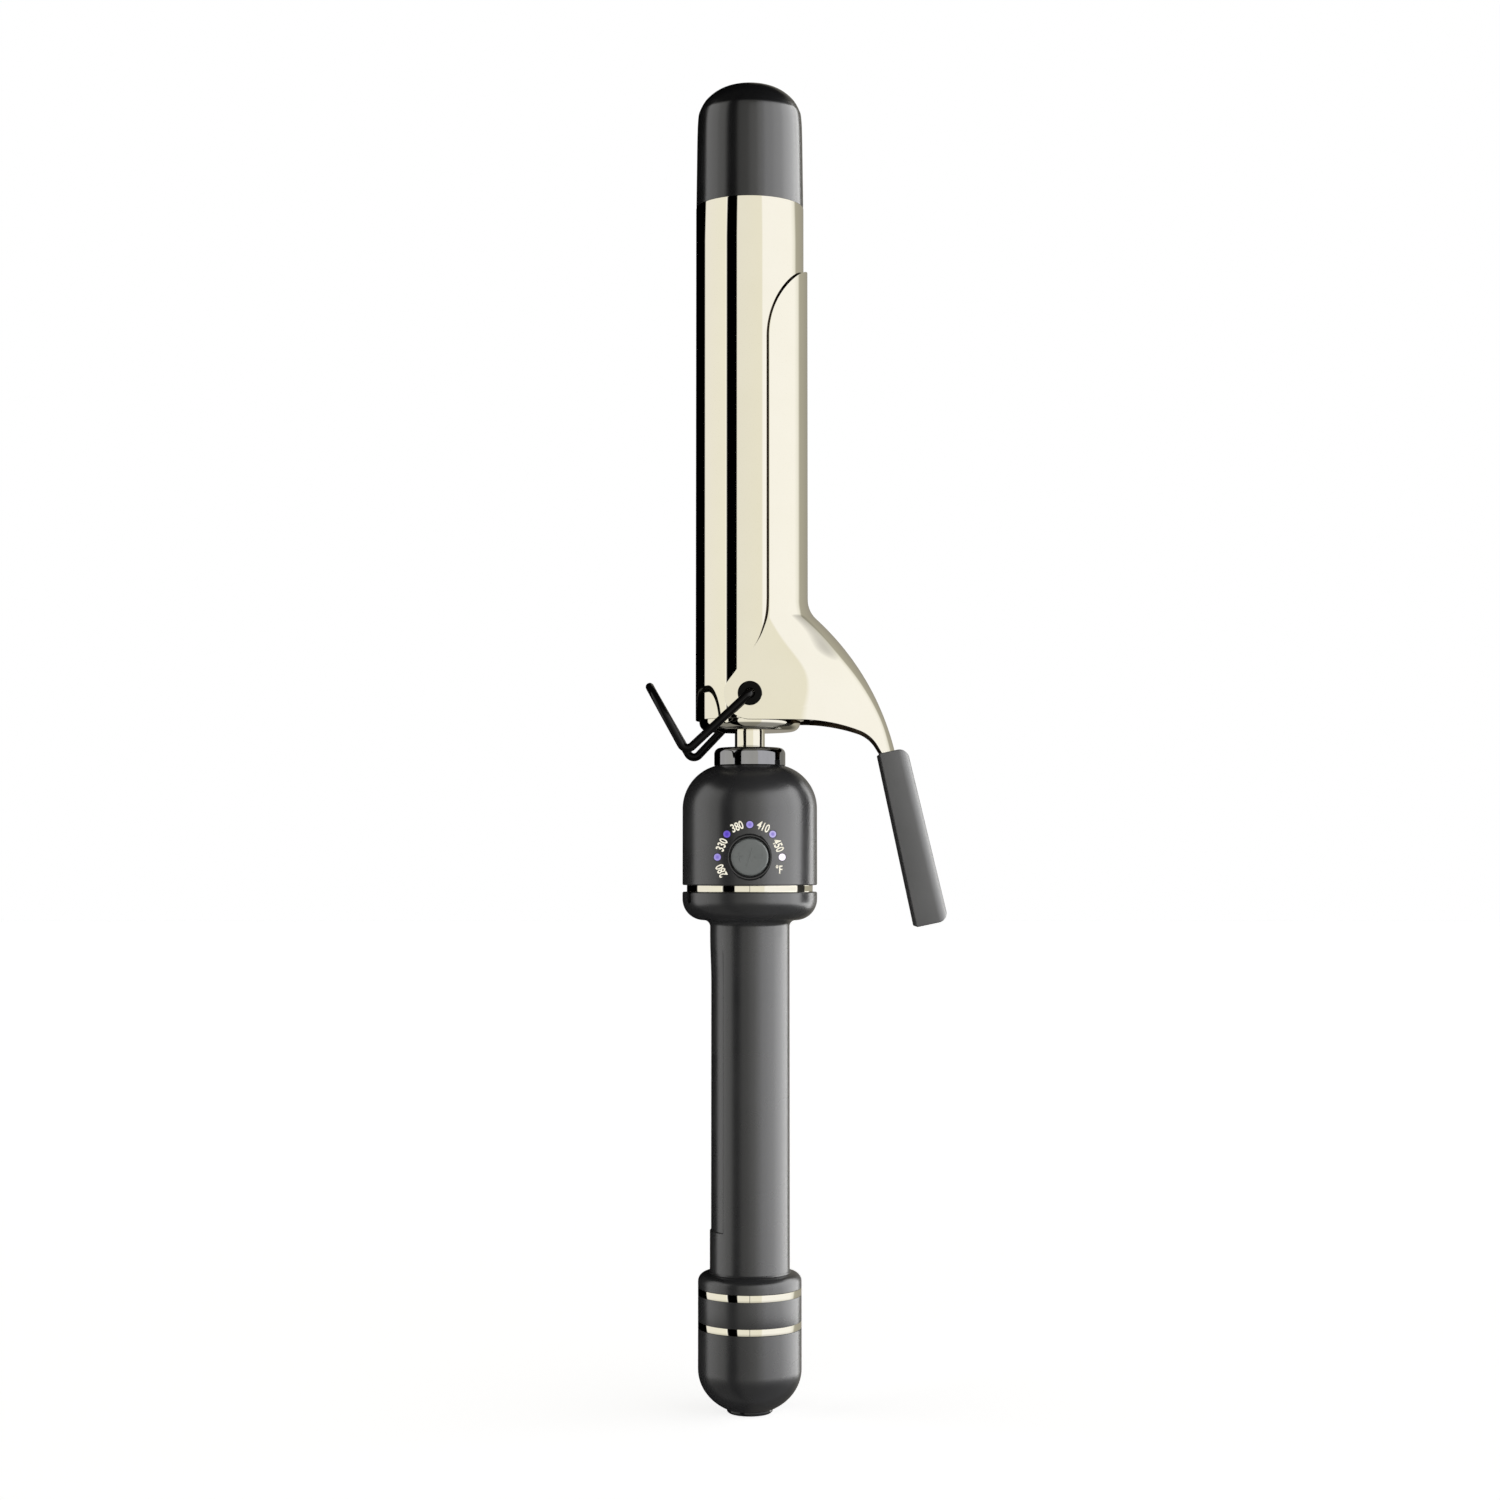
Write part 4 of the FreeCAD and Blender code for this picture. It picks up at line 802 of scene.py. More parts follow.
def build_figures():
    """Generic dial figures printed along the lens circle: text, angle and distance of each."""
    figures = [("280", 205.5, 9.0), ("330", 156, 8.75), ("380", 112.5, 9.45)]
    figures += [("410", 66, 9.5), ("450", 22.5, 8.8), ("°F", -22.5, 9.05)]
    for index, (text, degrees, out) in enumerate(figures):
        curve = bpy.data.curves.new(f"figures_{index}", "FONT")
        curve.body = text
        curve.size = 1.0
        curve.align_x = "CENTER"
        curve.align_y = "CENTER"
        curve.offset = 0.022
        curve.resolution_u = 6
        obj = add_object(f"figures_{index}", curve)
        bpy.context.view_layer.update()
        deps = bpy.context.evaluated_depsgraph_get()
        mesh = bpy.data.meshes.new_from_object(obj.evaluated_get(deps))
        bpy.data.objects.remove(obj)
        co = np.array([v.co for v in mesh.vertices], float)
        lo, hi = co.min(0), co.max(0)
        middle = (lo + hi) / 2
        tall = FIGURE_HEIGHT / (hi[1] - lo[1])
        wide = tall * FIGURE_WIDTH
        a = math.radians(degrees)
        turn = a - math.pi / 2 if text[0].isdigit() else 0.0
        radius = out * MM
        for v in mesh.vertices:
            u = (v.co.x - middle[0]) * wide
            w = (v.co.y - middle[1]) * tall
            x = radius * math.cos(a) + u * math.cos(turn) - w * math.sin(turn)
            z = radius * math.sin(a) + u * math.sin(turn) + w * math.cos(turn)
            y = -math.sqrt((HOUSING_R + 0.03 * MM) ** 2 - x ** 2)
            v.co = (x, y, BUTTON_Z + z)
        print_obj = add_object(f"dial_figures_{index + 1}", mesh)
        mesh.materials.clear()
        mesh.materials.append(PRINT)
        solid = print_obj.modifiers.new("ink", "SOLIDIFY")
        solid.thickness = INK
        solid.offset = 0
        bpy.context.view_layer.update()
        settle(print_obj)
        place(print_obj, "iron", "satin_black")


def build_rings():
    """Three gold split rings."""
    pieces = [("trim_ring", "housing_trim_ring"), ("end_ring_a", "end_ring_upper")]
    pieces.append(("end_ring_b", "end_ring_lower"))
    for name, node in pieces:
        lo, hi = low(node), high(node)
        r = hi.x
        inner = r - RING_WALL
        profile = soften([(r, lo.z), (r, hi.z), (inner, hi.z), (inner, lo.z)], 0.12 * MM)
        ring = split_lathe(name, profile, GOLD, 0.14 * MM)
        place(ring, "iron", "gold_plate", node)


NOTCH_AZIMUTH = -63.0
LABEL_HALF = 48.0
LABEL_DEPTH = 0.35 * MM


def step_ease(value, edge, width):
    """0 below edge, 1 above, smooth over width."""
    t = min(max((value - edge) / width + 0.5, 0.0), 1.0)
    return t * t * (3 - 2 * t)


def build_handle():
    """Grip tube and cup, with the blank label field and the latch notch."""
    lo = low("handle_shell").z
    inner = GRIP_R - 2.2 * MM
    flare = 1.9 * MM
    cup_arc = HOUSING_R - GRIP_R - flare
    floor = GRIP_TOP + 4.0 * MM
    spigot = TRIM_R - 2.04 * MM
    spigot_in = spigot - 1.75 * MM
    rise = 5.0 * MM
    label_low = END_COLLAR_Z + 16.5 * MM
    label_high = GRIP_TOP - 2.2 * MM
    fade = 14.0 * MM
    profile = [(inner, lo), (GRIP_R, lo)]
    levels = []
    z = lo + 2 * MM
    while z < GRIP_TOP - 0.5 * MM:
        levels.append(z)
        z += 2 * MM
    for edge in (label_low, label_high):
        for k in range(-4, 5):
            levels.append(edge + k * 0.1 * MM)
    profile += [(GRIP_R, z) for z in sorted(levels) if lo < z < GRIP_TOP]
    profile += arc_points((GRIP_R + flare, GRIP_TOP), flare, 180, 90, 10)
    profile += arc_points((HOUSING_R - cup_arc, GRIP_TOP + flare + cup_arc), cup_arc, -90, 0, 22)
    profile += [(HOUSING_R, CUP_RIM - 0.25 * MM), (HOUSING_R - 0.25 * MM, CUP_RIM), (spigot, CUP_RIM)]
    profile += [(spigot, CUP_RIM + rise), (spigot_in, CUP_RIM + rise), (spigot_in, floor), (inner, floor)]
    azimuths = [2 * math.pi * k / 288 for k in range(288)]
    for edge in (180 - LABEL_HALF, 180 + LABEL_HALF):
        for k in range(-5, 6):
            azimuths.append(math.radians(edge + k * 0.35))
    azimuths = sorted(set(round(a, 6) for a in azimuths))

    def field(r, z, az):
        if r < GRIP_R - 1e-6 or r > GRIP_R + 1e-6:
            return r
        off = abs(math.degrees(az) - 180)
        across = 1 - step_ease(off, LABEL_HALF, 2.4)
        along = step_ease(z, label_low, 0.5 * MM) * (1 - step_ease(z, label_high - fade / 2, fade))
        return r - LABEL_DEPTH * across * along

    handle = lathe("grip_tube", profile, SATIN, tweak=field, azimuths=azimuths)
    half = BUTTON_R + 3.3 * MM
    window = box_mesh("window", -half, half, -HOUSING_R, 0.0, CUP_RIM + 2.3 * MM, CUP_RIM + 9 * MM)
    carve(handle, [notch_cutter(spigot_in - 2 * MM), window])
    shade(handle, 30.0)
    return place(handle, "iron", "satin_black", "handle_shell")


def box_mesh(name, x0, x1, y0, y1, z0, z1):
    verts = [(x, y, z) for x in (x0, x1) for y in (y0, y1) for z in (z0, z1)]
    faces = [(0, 1, 3, 2), (4, 6, 7, 5), (0, 4, 5, 1), (2, 3, 7, 6), (0, 2, 6, 4), (1, 5, 7, 3)]
    return add_mesh(name, verts, faces, SATIN)


def notch_cutter(start):
    """Round-bottomed slot through the cup's wall at the latch."""
    half = 1.35 * MM
    low_z = CUP_RIM - 3.2 * MM + half
    outline = [(half, CUP_RIM - 0.001 * MM), (half, low_z)]
    outline += arc_points((0, low_z), half, 0, -180, 16)[1:-1]
    outline += [(-half, low_z), (-half, CUP_RIM - 0.001 * MM)]
    az = math.radians(NOTCH_AZIMUTH - 90)
    out = np.array((math.cos(az), math.sin(az)))
    side = np.array((-out[1], out[0]))
    ends = []
    for reach in (start, HOUSING_R + 2 * MM):
        ends.append([(*(out * reach + side * u), z) for u, z in outline])
    return prism("notch", ends[0], ends[1], SATIN)


# ---------------------------------------------------------------- foot
def build_end_collar():
    """Collar at the grip's foot with the sleeve inside the rings."""
    edge = 2.5 * MM
    base = END_COLLAR_Z
    top = END_COLLAR_TOP
    shoulder = top - 0.6 * MM
    sleeve_in, sleeve = END_R - 4.42 * MM, END_R - 2.02 * MM
    low_z = low("end_collar").z
    bore = GRIP_R + 0.05 * MM
    profile = [(sleeve_in, low_z), (sleeve, low_z), (sleeve, base), (END_R - 0.15 * MM, base)]
    profile += [(END_R, base + 0.15 * MM)]
    profile += arc_points((END_R - edge, shoulder - edge), edge, 0, 90, 14)
    profile += [(bore + 0.3 * MM, shoulder + 0.15 * MM), (bore, shoulder + 0.6 * MM)]
    profile += [(bore, base + 0.06 * MM), (sleeve_in, base + 0.06 * MM)]
    return place(lathe("foot_collar", profile, SATIN, 256), "iron", "satin_black", "end_collar")


def build_end_band():
    """Black band between the gold rings."""
    lo, hi = low("end_band").z, high("end_band").z
    inner = END_R - RING_WALL
    profile = soften([(END_R, lo), (END_R, hi), (inner, hi), (inner, lo)], 0.12 * MM)
    return place(lathe("foot_band", profile, SATIN, 256), "iron", "satin_black", "end_band")


def build_end_dome():
    """Rounded end cap."""
    middle = 12.5 * MM
    height = middle + 0.2 * MM
    top = high("end_dome").z
    hole = GLAND_R + 0.05 * MM
    start = math.acos(hole / END_R)
    sleeve, ledge_r = END_R - RING_WALL, END_R - 4.02 * MM
    sleeve_low = low("end_collar").z
    profile = []
    steps = 30
    for i in range(steps + 1):
        a = start * (1 - i / steps)
        profile.append((END_R * math.cos(a), middle - height * math.sin(a)))
    profile += [(END_R, top - 0.12 * MM), (END_R - 0.12 * MM, top), (sleeve, top), (sleeve, sleeve_low)]
    ledge_z, room_r, floor_z = 9 * MM, 9.9 * MM, 5.5 * MM
    profile += [(ledge_r, sleeve_low), (ledge_r, ledge_z), (room_r, ledge_z)]
    profile += [(room_r, floor_z), (hole, floor_z)]
    return place(lathe("foot_dome", profile, SATIN, 256), "iron", "satin_black", "end_dome")


def build_gland():
    """Turning cord gland: nub with the cord's bore, flange inside the foot, hub for the slip rings."""
    bore, edge, wire_bore, bore_top = 3.3 * MM, 0.8 * MM, 2 * MM, 11 * MM
    floor = 5.55 * MM
    flange, flange_top = 9.2 * MM, floor + 2 * MM
    hub = 4.8 * MM
    top = high("swivel_gland").z
    profile = [(bore, 0.3 * MM), (bore + 0.3 * MM, 0.0)]
    profile += arc_points((GLAND_R - edge, edge), edge, -90, 0, 8)
    profile += [(GLAND_R, floor), (flange, floor), (flange, flange_top), (hub, flange_top)]
    profile += [(hub, top), (wire_bore, top), (wire_bore, bore_top), (bore, bore_top)]
    return place(lathe("gland", profile, GLOSS, 160), "swivel", "gloss_black", "swivel_gland")


# ---------------------------------------------------------------- clamp
SPINE_ARC = 77.0 * MM
FILLET_ARC = 8.0 * MM
LEVER_TURN = math.radians(47.5)
FILLET_TOP = PIVOT_Z + 28.67 * MM
SPOON_HALF = math.radians(71.0)
SPOON_TOP = FILLET_TOP + 75.0 * MM
SPOON_TIP = 21.8 * MM
EAR_R = 7.4 * MM
EAR_START = 160
EAR_END = 270
LEVER_FLAT = 15.02 * MM
LEVER_ARC = 50 * MM
LEVER_ARC_END = 19.7
LEVER_HOOK = 10 * MM
LEVER_HOOK_END = 60
PAD_X = CLAMP_R + 20.55 * MM
PAD_Z = PIVOT_Z - 16.9 * MM
PAD_THICK = 8.35 * MM
PAD_TILT_IN = math.radians(12.0)
PAD_TILT_OUT = math.radians(13.4)
PAD_LENGTH = 51.4 * MM
PAD_HALF_WIDTH = 8.2 * MM
PAD_SIDE = (math.cos(PAD_TILT_IN), math.sin(PAD_TILT_IN))


def spine_x(z, inset=0.0):
    """How far the clamp's back stands from the barrel's axis at a level."""
    if z >= FILLET_TOP:
        return CLAMP_R - inset
    fillet = FILLET_ARC + inset
    drop = FILLET_TOP - z
    if drop <= fillet * math.sin(LEVER_TURN):
        return CLAMP_R + FILLET_ARC - math.sqrt(fillet ** 2 - drop ** 2)
    cx = CLAMP_R + FILLET_ARC * (1 - math.cos(LEVER_TURN)) - SPINE_ARC * math.cos(LEVER_TURN)
    cz = FILLET_TOP - (FILLET_ARC + SPINE_ARC) * math.sin(LEVER_TURN)
    return cx + math.sqrt((SPINE_ARC - inset) ** 2 - (z - cz) ** 2)


def fullness(z):
    """Exponent of the section at a level: 2 is an ellipse, more a flatter cheek, less a slimmer one."""
    at = (z - PIVOT_Z) / MM
    full = 0.6 * math.exp(-((at - 7.0) / 7.0) ** 2)
    slim = 0.5 * math.exp(-((at + 9.0) / 7.0) ** 2)
    return 2.0 + full - slim


def section_angle(x, z, inset):
    """Place of x round the section at z: half pi at the back, 0 at the axis, below 0 beyond it."""
    half = CLAMP_R - inset
    if x <= 0:
        return x / half
    share = min(1.0, x / spine_x(z, inset))
    return math.asin(share ** (fullness(z) / 2))


def section_point(angle, z, inset):
    """(x, y) of the section at z for a place round it, on the +Y side."""
    half = CLAMP_R - inset
    if angle <= 0:
        return angle * half, half
    return spine_x(z, inset) * math.sin(angle) ** (2 / fullness(z)), half * math.cos(angle)


def free_edge():
    """Side view of the free edge, from the spoon's tip to the pad, and where the ear starts in it."""
    edge_x = CLAMP_R * math.cos(SPOON_HALF)
    pts = []
    steps = 60
    for i in range(steps + 1):
        a = math.pi / 2 * (1 - i / steps)
        rise, wide = math.sin(a), math.cos(a)
        pts.append((CLAMP_R * math.cos(SPOON_HALF * wide), SPOON_TOP + SPOON_TIP * rise))
    bottom = FILLET_TOP - 1.0 * MM
    for i in range(1, steps + 1):
        pts.append((edge_x, SPOON_TOP + (bottom - SPOON_TOP) * i / steps))
    ear_start = len(pts) - 1
    a = math.radians(EAR_START)
    ear = (EAR_R * math.cos(a), PIVOT_Z + EAR_R * math.sin(a))
    slant = [(edge_x, bottom + 2 * MM), (edge_x, bottom), (edge_x - 0.22 * MM, PIVOT_Z + 23.4 * MM)]
    slant += [(edge_x - 1.17 * MM, PIVOT_Z + 19.6 * MM), (edge_x - 3.47 * MM, PIVOT_Z + 14.7 * MM)]
    slant += [(edge_x - 9.2 * MM, PIVOT_Z + 7.0 * MM), ear, (ear[0] - 1.0 * MM, ear[1] - 2.0 * MM)]
    for i in range(1, len(slant) - 2):
        corners = [np.array(slant[i + k]) for k in (-1, 0, 1, 2)]
        pts += [tuple(map(float, catmull(corners, k / 12))) for k in range(1, 13)]
    pts += arc_points((0, PIVOT_Z), EAR_R, EAR_START, EAR_END, 30)[1:]
    low_z = PIVOT_Z - EAR_R
    first = (LEVER_FLAT, low_z - LEVER_ARC)
    for i in range(1, 13):
        pts.append((first[0] * i / 12, low_z))
    turned = 90 - LEVER_ARC_END
    pts += arc_points(first, LEVER_ARC, 90, turned, 18)[1:]
    a = math.radians(turned)
    reach = LEVER_ARC - LEVER_HOOK
    second = (first[0] + reach * math.cos(a), first[1] + reach * math.sin(a))
    pts += arc_points(second, LEVER_HOOK, turned, 90 - LEVER_HOOK_END, 12)[1:]
    end = (PAD_X + PAD_SIDE[0] * 0.8 * MM, PAD_Z + PAD_SIDE[1] * 0.8 * MM)
    last = pts[-1]
    for i in range(1, 5):
        t = i / 4
        pts.append((last[0] + (end[0] - last[0]) * t, last[1] + (end[1] - last[1]) * t))
    return pts, ear_start


def back_levels(edge, ear_start):
    """Level on the back that each point of the free edge is joined to."""
    pad_z = PAD_Z
    for _ in range(20):
        pad_z = PAD_Z + (spine_x(pad_z) - PAD_X) * PAD_SIDE[1] / PAD_SIDE[0]
    length = [0.0]
    for a, b in zip(edge, edge[1:]):
        length.append(length[-1] + math.dist(a, b))
    start = length[ear_start]
    total = length[-1] - start
    top_level = edge[ear_start][1]
    levels = [z for x, z in edge[:ear_start + 1]]
    for at in length[ear_start + 1:]:
        levels.append(top_level + (pad_z - top_level) * (at - start) / total)
    return levels


def clamp_surface(inset, edge, levels, across):
    """Grid over one face: rows along the free edge, columns from edge to edge over the back."""
    rows = []
    for (xb, zb), zs in zip(edge, levels):
        start = section_angle(xb, zb, inset)
        row = []
        for k in range(across + 1):
            t = k / across
            z = zb + (zs - zb) * t
            angle = start + (math.pi / 2 - start) * t
            x, y = section_point(angle, z, inset)
            row.append((x, y, z))
        rows.append([(x, -y, z) for x, y, z in row] + [(x, y, z) for x, y, z in reversed(row[:-1])])
    return rows


def build_clamp():
    """Gold pressing: spoon, cheeks with the bushing holes, and lever; the tang is built apart."""
    edge, ear_start = free_edge()
    levels = back_levels(edge, ear_start)
    across = 44
    outer = clamp_surface(0.0, edge, levels, across)
    inner = clamp_surface(SHEET, edge, levels, across)
    cols = 2 * across + 1
    verts = [p for row in outer for p in row] + [p for row in inner for p in row]
    size = len(outer) * cols
    faces = []
    n = len(outer)
    for i in range(n - 1):
        for k in range(cols - 1):
            a, b, c, d = i * cols + k, i * cols + k + 1, (i + 1) * cols + k + 1, (i + 1) * cols + k
            faces.append((a, b, c, d))
            faces.append((size + a, size + d, size + c, size + b))
        for k in (0, cols - 1):
            a, b = i * cols + k, (i + 1) * cols + k
            faces.append((a, b, size + b, size + a))
    for k in range(cols - 1):
        a, b = (n - 1) * cols + k, (n - 1) * cols + k + 1
        faces.append((a, b, size + b, size + a))
    clamp = add_mesh("clamp_sheet", verts, faces, GOLD, 40.0)
    # Second material for the inner faces: dark colour that paints the shade between sheet and barrel.
    clamp.data.materials.append(SHADED_INSIDE)
    bm = bmesh.new()
    bm.from_mesh(clamp.data)
    bm.verts.ensure_lookup_table()
    for face in bm.faces:
        if any(v.index >= size for v in face.verts):
            face.material_index = 1
    bmesh.ops.remove_doubles(bm, verts=bm.verts, dist=2e-6)
    bmesh.ops.dissolve_degenerate(bm, edges=bm.edges, dist=1e-7)
    bmesh.ops.recalc_face_normals(bm, faces=bm.faces)
    bm.to_mesh(clamp.data)
    bm.free()
    reach = CLAMP_R + 3 * MM
    carve(clamp, [cylinder_y("pivot_hole", 2.86 * MM, -reach, reach, 0, PIVOT_Z, 64)])
    bevel = clamp.modifiers.new("edge", "BEVEL")
    bevel.width = 0.12 * MM
    bevel.segments = 2
    bevel.limit_method = "ANGLE"
    bevel.angle_limit = math.radians(50)
    bpy.context.view_layer.update()
    settle(clamp)
    shade(clamp, 35.0)
    place(clamp, "clamp", "gold_plate", "clamp")


def build_tang():
    """Flat end of the lever inside the pad."""
    near, far = PAD_THICK * 0.42, PAD_THICK * 0.42 + SHEET
    down = (math.sin(PAD_TILT_IN), -math.cos(PAD_TILT_IN))
    half = 5.5 * MM
    top, end = 0.02 * MM, 34 * MM
    ring = []
    for off, along in ((near, top), (far, top), (far, end), (near, end)):
        x = PAD_X + PAD_SIDE[0] * off + down[0] * along
        ring.append((x, PAD_Z + PAD_SIDE[1] * off + down[1] * along))
    front, back = ([(x, y, z) for x, z in ring] for y in (-half, half))
    place(prism("tang", front, back, GOLD), "clamp", "gold_plate")


def build_pad():
    """Moulded grip pad: outer edges well rounded, inner edges nearly sharp."""
    down_in = (math.sin(PAD_TILT_IN), -math.cos(PAD_TILT_IN))
    down_out = (math.sin(PAD_TILT_OUT), -math.cos(PAD_TILT_OUT))
    corner = (PAD_X, PAD_Z)
    top_out = (corner[0] + PAD_SIDE[0] * PAD_THICK, corner[1] + PAD_SIDE[1] * PAD_THICK)
    low_in = (corner[0] + down_in[0] * PAD_LENGTH, corner[1] + down_in[1] * PAD_LENGTH)
    low_out = (top_out[0] + down_out[0] * PAD_LENGTH, top_out[1] + down_out[1] * PAD_LENGTH)
    ring = [corner, top_out, low_out, low_in]
    w = PAD_HALF_WIDTH
    front, back = ([(x, y, z) for x, z in ring] for y in (-w, w))
    pad = prism("grip_pad", front, back, PAD)
    bm = bmesh.new()
    bm.from_mesh(pad.data)
    bm.verts.ensure_lookup_table()
    outer_pairs = [(1, 2), (5, 6), (1, 5), (2, 6)]
    outer = [e for e in bm.edges if tuple(sorted(v.index for v in e.verts)) in outer_pairs]
    bmesh.ops.bevel(bm, geom=outer, offset=3.0 * MM, segments=10, profile=0.5, affect="EDGES")
    sharp = [e for e in bm.edges if e.calc_face_angle(0) > math.radians(40)]
    bmesh.ops.bevel(bm, geom=sharp, offset=0.3 * MM, segments=3, profile=0.5, affect="EDGES")
    bm.to_mesh(pad.data)
    bm.free()
    shade(pad, 40.0)
    return place(pad, "clamp", "satin_black", "lever_grip")


def build_bushings():
    """Flanged black bushings, the flange's edge rounded."""
    pieces = [("bushing_a", "pivot_bushing_front", -1), ("bushing_b", "pivot_bushing_rear", 1)]
    for name, node, side in pieces:
        lo, hi = low(node).y, high(node).y
        outer = max(abs(lo), abs(hi))
        tail = min(abs(lo), abs(hi))
        flange = outer - 1.05 * MM
        shoulder = BARREL_R - 2.9 * MM
        bore, r, spigot, head = 1.275 * MM, 2.8 * MM, 2.2 * MM, 3.5 * MM
        profile = [(bore, tail), (spigot, tail), (spigot, shoulder), (r, shoulder)]
        profile += [(r, flange), (head, flange)]
        profile += arc_points((head - 0.5 * MM, outer - 0.5 * MM), 0.5 * MM, 0, 90, 6)
        profile += [(bore + 0.25 * MM, outer), (bore, outer - 0.25 * MM)]
        profile = [(radius, y * side) for radius, y in profile]
        place(disc_y(profile, COATED, name, 0, PIVOT_Z, 72), "iron", "gloss_black", node)


def build_stand():
    """Coated wire stand."""
    wire_r = 1.225 * MM
    half = high("stand_wire").y - wire_r
    pin = 9.7 * MM
    front = (-18.3 * MM, PIVOT_Z - 17.1 * MM)
    rear = (-17.2 * MM, PIVOT_Z - 18.15 * MM)
    bar_at = (-29.0 * MM, PIVOT_Z + 2.4 * MM)
    points = [(0, -pin, PIVOT_Z), (0, -half, PIVOT_Z), (front[0], -half, front[1])]
    points += [(bar_at[0], -half, bar_at[1]), (bar_at[0], half, bar_at[1])]
    points += [(rear[0], half, rear[1]), (0, half, PIVOT_Z), (0, pin, PIVOT_Z)]
    tight, bend, round_end = 1.325 * MM, 2.0 * MM, 12.0 * MM
    path = rounded_points(points, [tight, bend, round_end, round_end, bend, tight], 16)
    wire = tube("stand", denser(path, 1.5 * MM), wire_r, COATED, 36)
    return place(wire, "stand", "coated_wire", "stand_wire")


def build_spring():
    """Leaf spring under the lever, built in one fixed shape; the real spring flattens towards the barrel as
    the lever is pressed.
    """
    t = 0.6 * MM
    half_width = 3.5 * MM
    plate_x = BARREL_R + t / 2
    top_z, low_z, bend_r, loop_r = PIVOT_Z + 4.7 * MM, PIVOT_Z - 4.7 * MM, 1.8 * MM, 2.7 * MM
    bend = (plate_x + bend_r, low_z)
    cx = CLAMP_R + FILLET_ARC * (1 - math.cos(LEVER_TURN)) - SPINE_ARC * math.cos(LEVER_TURN)
    cz = FILLET_TOP - (FILLET_ARC + SPINE_ARC) * math.sin(LEVER_TURN)
    sag = 1 - math.sqrt(1 - (half_width / (CLAMP_R - SHEET)) ** 2)
    inset = t / 2 + loop_r + sag * spine_x(top_z, SHEET) + 0.05 * MM
    reach = SPINE_ARC - SHEET - inset
    a = math.radians(36.9)
    loop = (cx + reach * math.cos(a), cz + reach * math.sin(a))
    span = math.dist(bend, loop)
    toward = math.atan2(loop[1] - bend[1], loop[0] - bend[0])
    tilt = toward - math.asin((loop_r - bend_r) / span)
    path = [(plate_x, top_z), (plate_x, (top_z + low_z) / 2)]
    path += arc_points(bend, bend_r, 180, 270 + math.degrees(tilt), 20)
    path += arc_points(loop, loop_r, math.degrees(tilt) - 90, 120, 20)
    verts = []
    m = len(path)
    for i, p in enumerate(path):
        q = np.array(path[min(i + 1, m - 1)]) - np.array(path[max(i - 1, 0)])
        q = q / np.linalg.norm(q)
        n = np.array((-q[1], q[0])) * t / 2
        for sign in (-1, 1):
            for y in (-half_width, half_width):
                verts.append((p[0] + n[0] * sign, y, p[1] + n[1] * sign))
    faces = []
    for i in range(m - 1):
        b, c = i * 4, i * 4 + 4
        faces += [(b, b + 1, c + 1, c), (b + 2, c + 2, c + 3, b + 3)]
        faces += [(b, c, c + 2, b + 2), (b + 1, b + 3, c + 3, c + 1)]
    faces += [(0, 2, 3, 1), (4 * m - 4, 4 * m - 3, 4 * m - 1, 4 * m - 2)]
    spring = add_mesh("leaf_spring", verts, faces, SPRING, 40.0)
    place(spring, "iron", "spring_steel", "clamp_spring")
    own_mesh(spring)


# ---------------------------------------------------------------- carried-over CAD nodes
def dress_nodes():
    """Materials for the CAD nodes that stay."""
    looks = {
        "barrel_holder": INSULATOR, "heater_block_front": ALUMINIUM, "heater_block_rear": ALUMINIUM,
        "ptc_heater": CERAMIC, "insulation_sheets": MICA, "thermistor": STEEL, "thermal_fuse": STEEL,
        "neck_nut": STEEL, "board_carrier": SATIN, "control_board": BOARD, "board_screws": STEEL,
        "tact_switch": COMPONENT, "leds": LED, "microcontroller": COMPONENT, "triac": COMPONENT,
        "capacitor": CAPACITOR, "heater_leads": LEAD, "sensor_leads": LEAD, "mains_leads": LEAD,
        "slip_rings": BRASS, "brush_holder": INSULATOR, "swivel_brushes": BRASS, "spring_rivet": STEEL,
    }
    for node, look in looks.items():
        obj = frame["nodes"][node]
        obj.data.materials.clear()
        obj.data.materials.append(look)


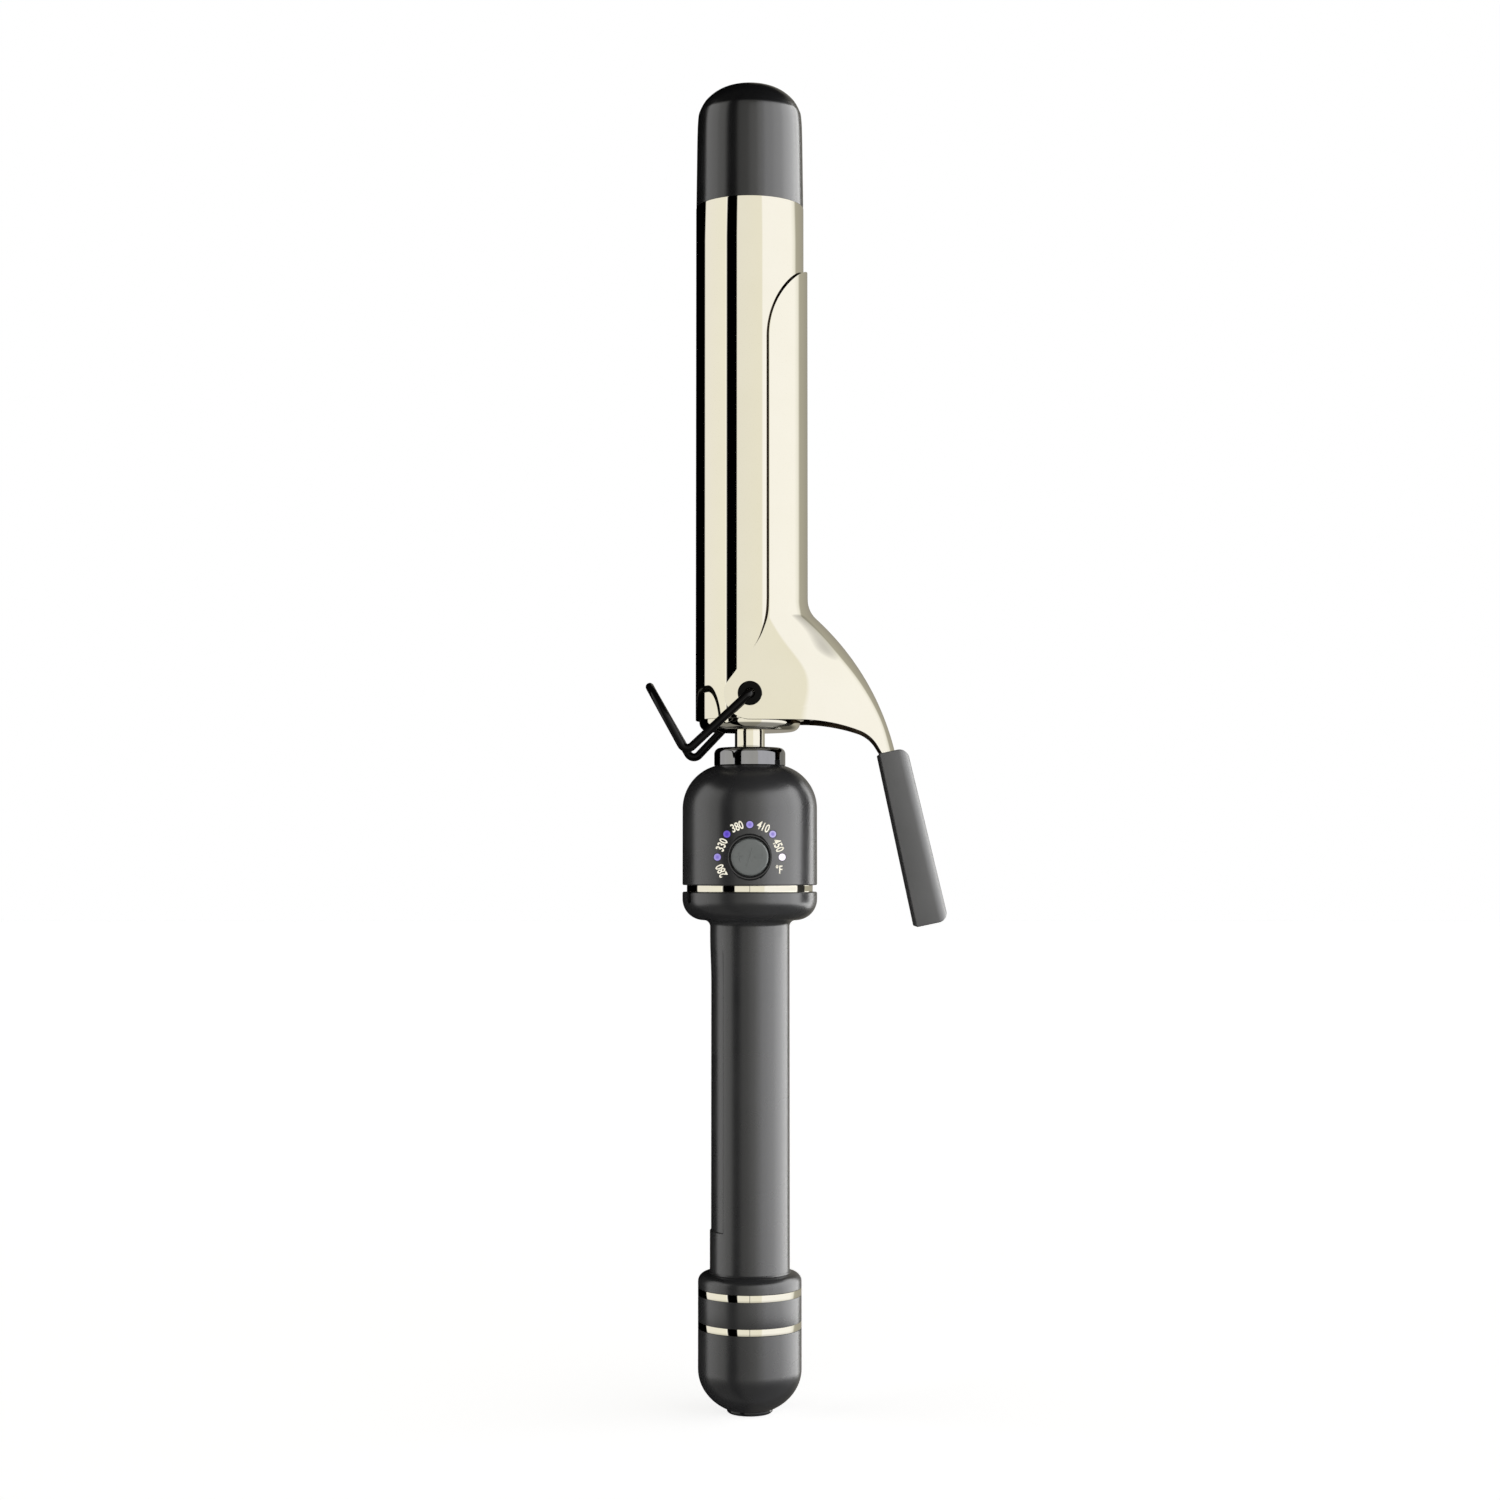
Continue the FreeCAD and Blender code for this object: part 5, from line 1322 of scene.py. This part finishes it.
# ---------------------------------------------------------------- studio
def azimuth_world():
    """Surround: pale panels and black flags by direction, dark overhead; plain white to the camera."""
    world = bpy.data.worlds.new("studio")
    bpy.context.scene.world = world
    world.use_nodes = True
    nodes, links = world.node_tree.nodes, world.node_tree.links
    nodes.clear()
    place_node = nodes.new("ShaderNodeTexCoord")
    split = nodes.new("ShaderNodeSeparateXYZ")
    links.new(place_node.outputs["Generated"], split.inputs["Vector"])
    back = math_node(nodes, links, "MULTIPLY", split.outputs["Y"], -1.0)
    angle = math_node(nodes, links, "ARCTAN2", split.outputs["X"], back)
    turn = math_node(nodes, links, "MULTIPLY_ADD", angle, 1 / (2 * math.pi), 0.5)
    black = (0.0, 0.0, 0.0)
    bands = [
        (-180.0, black), (-111.6, black), (-110.9, (0.87, 0.855, 0.84)), (-53.0, (0.88, 0.87, 0.80)),
        (-52.5, (1.05, 1.05, 1.05)), (-51.0, (1.05, 1.05, 1.05)), (-50.2, black), (-27.7, black),
        (-27.0, (0.83, 0.82, 0.78)), (26.2, (0.85, 0.835, 0.76)), (27.2, (0.99, 0.99, 1.02)),
        (100.0, (1.0, 1.0, 1.02)), (112.0, (0.86, 0.86, 0.84)), (118.0, (0.42, 0.41, 0.36)),
        (180.0, (0.30, 0.28, 0.24)),
    ]
    stops = [((degrees + 180) / 360, color) for degrees, color in bands]
    color = color_stops(nodes, links, turn, stops)
    height = split.outputs["Z"]
    dim_from, dim_to, sunk, level_again = (math.sin(math.radians(d)) for d in (37, 47, -30, -14))
    top = ranged(nodes, links, height, 1.0, 0.02, dim_from, dim_to)
    under = ranged(nodes, links, height, 0.25, 1.0, sunk, level_again)
    level = math_node(nodes, links, "MULTIPLY", top, under)
    surround = nodes.new("ShaderNodeBackground")
    links.new(color, surround.inputs["Color"])
    links.new(level, surround.inputs["Strength"])
    plain = nodes.new("ShaderNodeBackground")
    plain.inputs["Color"].default_value = (1, 1, 1, 1)
    plain.inputs["Strength"].default_value = 1.0
    path = nodes.new("ShaderNodeLightPath")
    mix = nodes.new("ShaderNodeMixShader")
    links.new(path.outputs["Is Camera Ray"], mix.inputs["Fac"])
    links.new(surround.outputs[0], mix.inputs[1])
    links.new(plain.outputs[0], mix.inputs[2])
    out = nodes.new("ShaderNodeOutputWorld")
    links.new(mix.outputs[0], out.inputs["Surface"])


def floor():
    """Pale floor that catches the contact shadow."""
    mat, nodes, links, shader = new_material("floor")
    shader.inputs["Base Color"].default_value = (0.9, 0.9, 0.9, 1)
    shader.inputs["Roughness"].default_value = 0.9
    shader.inputs["Specular IOR Level"].default_value = 0.0
    shader.inputs["Emission Color"].default_value = (1, 1, 1, 1)
    shader.inputs["Emission Strength"].default_value = 0.775
    side = 6.0
    verts = [(-side, -side, 0), (side, -side, 0), (side, side, 0), (-side, side, 0)]
    obj = add_mesh("floor", verts, [(0, 1, 2, 3)], mat)
    obj.location.z = -0.05 * MM
    obj.visible_glossy = False
    obj.visible_shadow = False


def soft_light(name, azimuth, width_deg, strength, receivers, distance=1.3, z0=-0.35, z1=1.3):
    """Tall soft panel at an azimuth from the front, lighting only the black pieces."""
    light = bpy.data.lights.new(name, "AREA")
    light.shape = "RECTANGLE"
    light.size = 2 * distance * math.tan(math.radians(width_deg / 2))
    light.size_y = z1 - z0
    light.energy = strength * math.pi * light.size * light.size_y
    obj = add_object(name, light)
    a = math.radians(azimuth)
    middle = Vector((0, 0, (z0 + z1) / 2))
    obj.location = (distance * math.sin(a), -distance * math.cos(a), middle.z)
    obj.rotation_euler = (middle - obj.location).to_track_quat("-Z", "Y").to_euler()
    obj.visible_camera = False
    obj.light_linking.receiver_collection = receivers
    return obj


def studio(black_pieces):
    """Surround, floor, panels for the black pieces, camera and plain display transform."""
    azimuth_world()
    floor()
    receivers = bpy.data.collections.new("black_pieces")
    for obj in black_pieces:
        receivers.objects.link(obj)
    panels = [(-92, 34, 1.25), (-65, 22, 0.85), (-12, 22, 0.12), (9, 20, 0.75), (26, 16, 1.7)]
    panels += [(43, 20, 2.9), (65, 24, 3.6), (96, 38, 4.7), (126, 24, 4.2)]
    for index, (azimuth, width, strength) in enumerate(panels, start=1):
        distance = 1.6 if abs(azimuth) < 20 else 1.3
        soft_light(f"panel_{index}", azimuth, width, strength, receivers, distance)
    scene = bpy.context.scene
    scene.view_settings.view_transform = "Standard"
    scene.view_settings.look = "None"
    cam = bpy.data.cameras.new("camera")
    cam.sensor_width = 36.0
    cam.lens = 58.375
    cam.clip_start = 0.01
    cam_obj = add_object("camera", cam)
    cam_obj.location = (0.00006, -0.71218, 0.158607)
    cam_obj.rotation_euler = (math.pi / 2 + 0.0466, 0, 0)
    scene.camera = cam_obj


# ---------------------------------------------------------------- build all
build_barrel()
build_base_cap()
build_neck()
build_rings()
build_clamp()
build_tang()
build_spring()
build_collar()
build_bushings()
blacks = [build_tip(), build_dome(), build_button(), build_handle(), build_end_collar()]
blacks += [build_end_band(), build_end_dome(), build_gland(), build_pad(), build_stand()]
build_lenses()
build_figures()
dress_nodes()
blacks += [frame["nodes"]["board_carrier"], bpy.data.objects["button_marks"]]
studio(blacks)
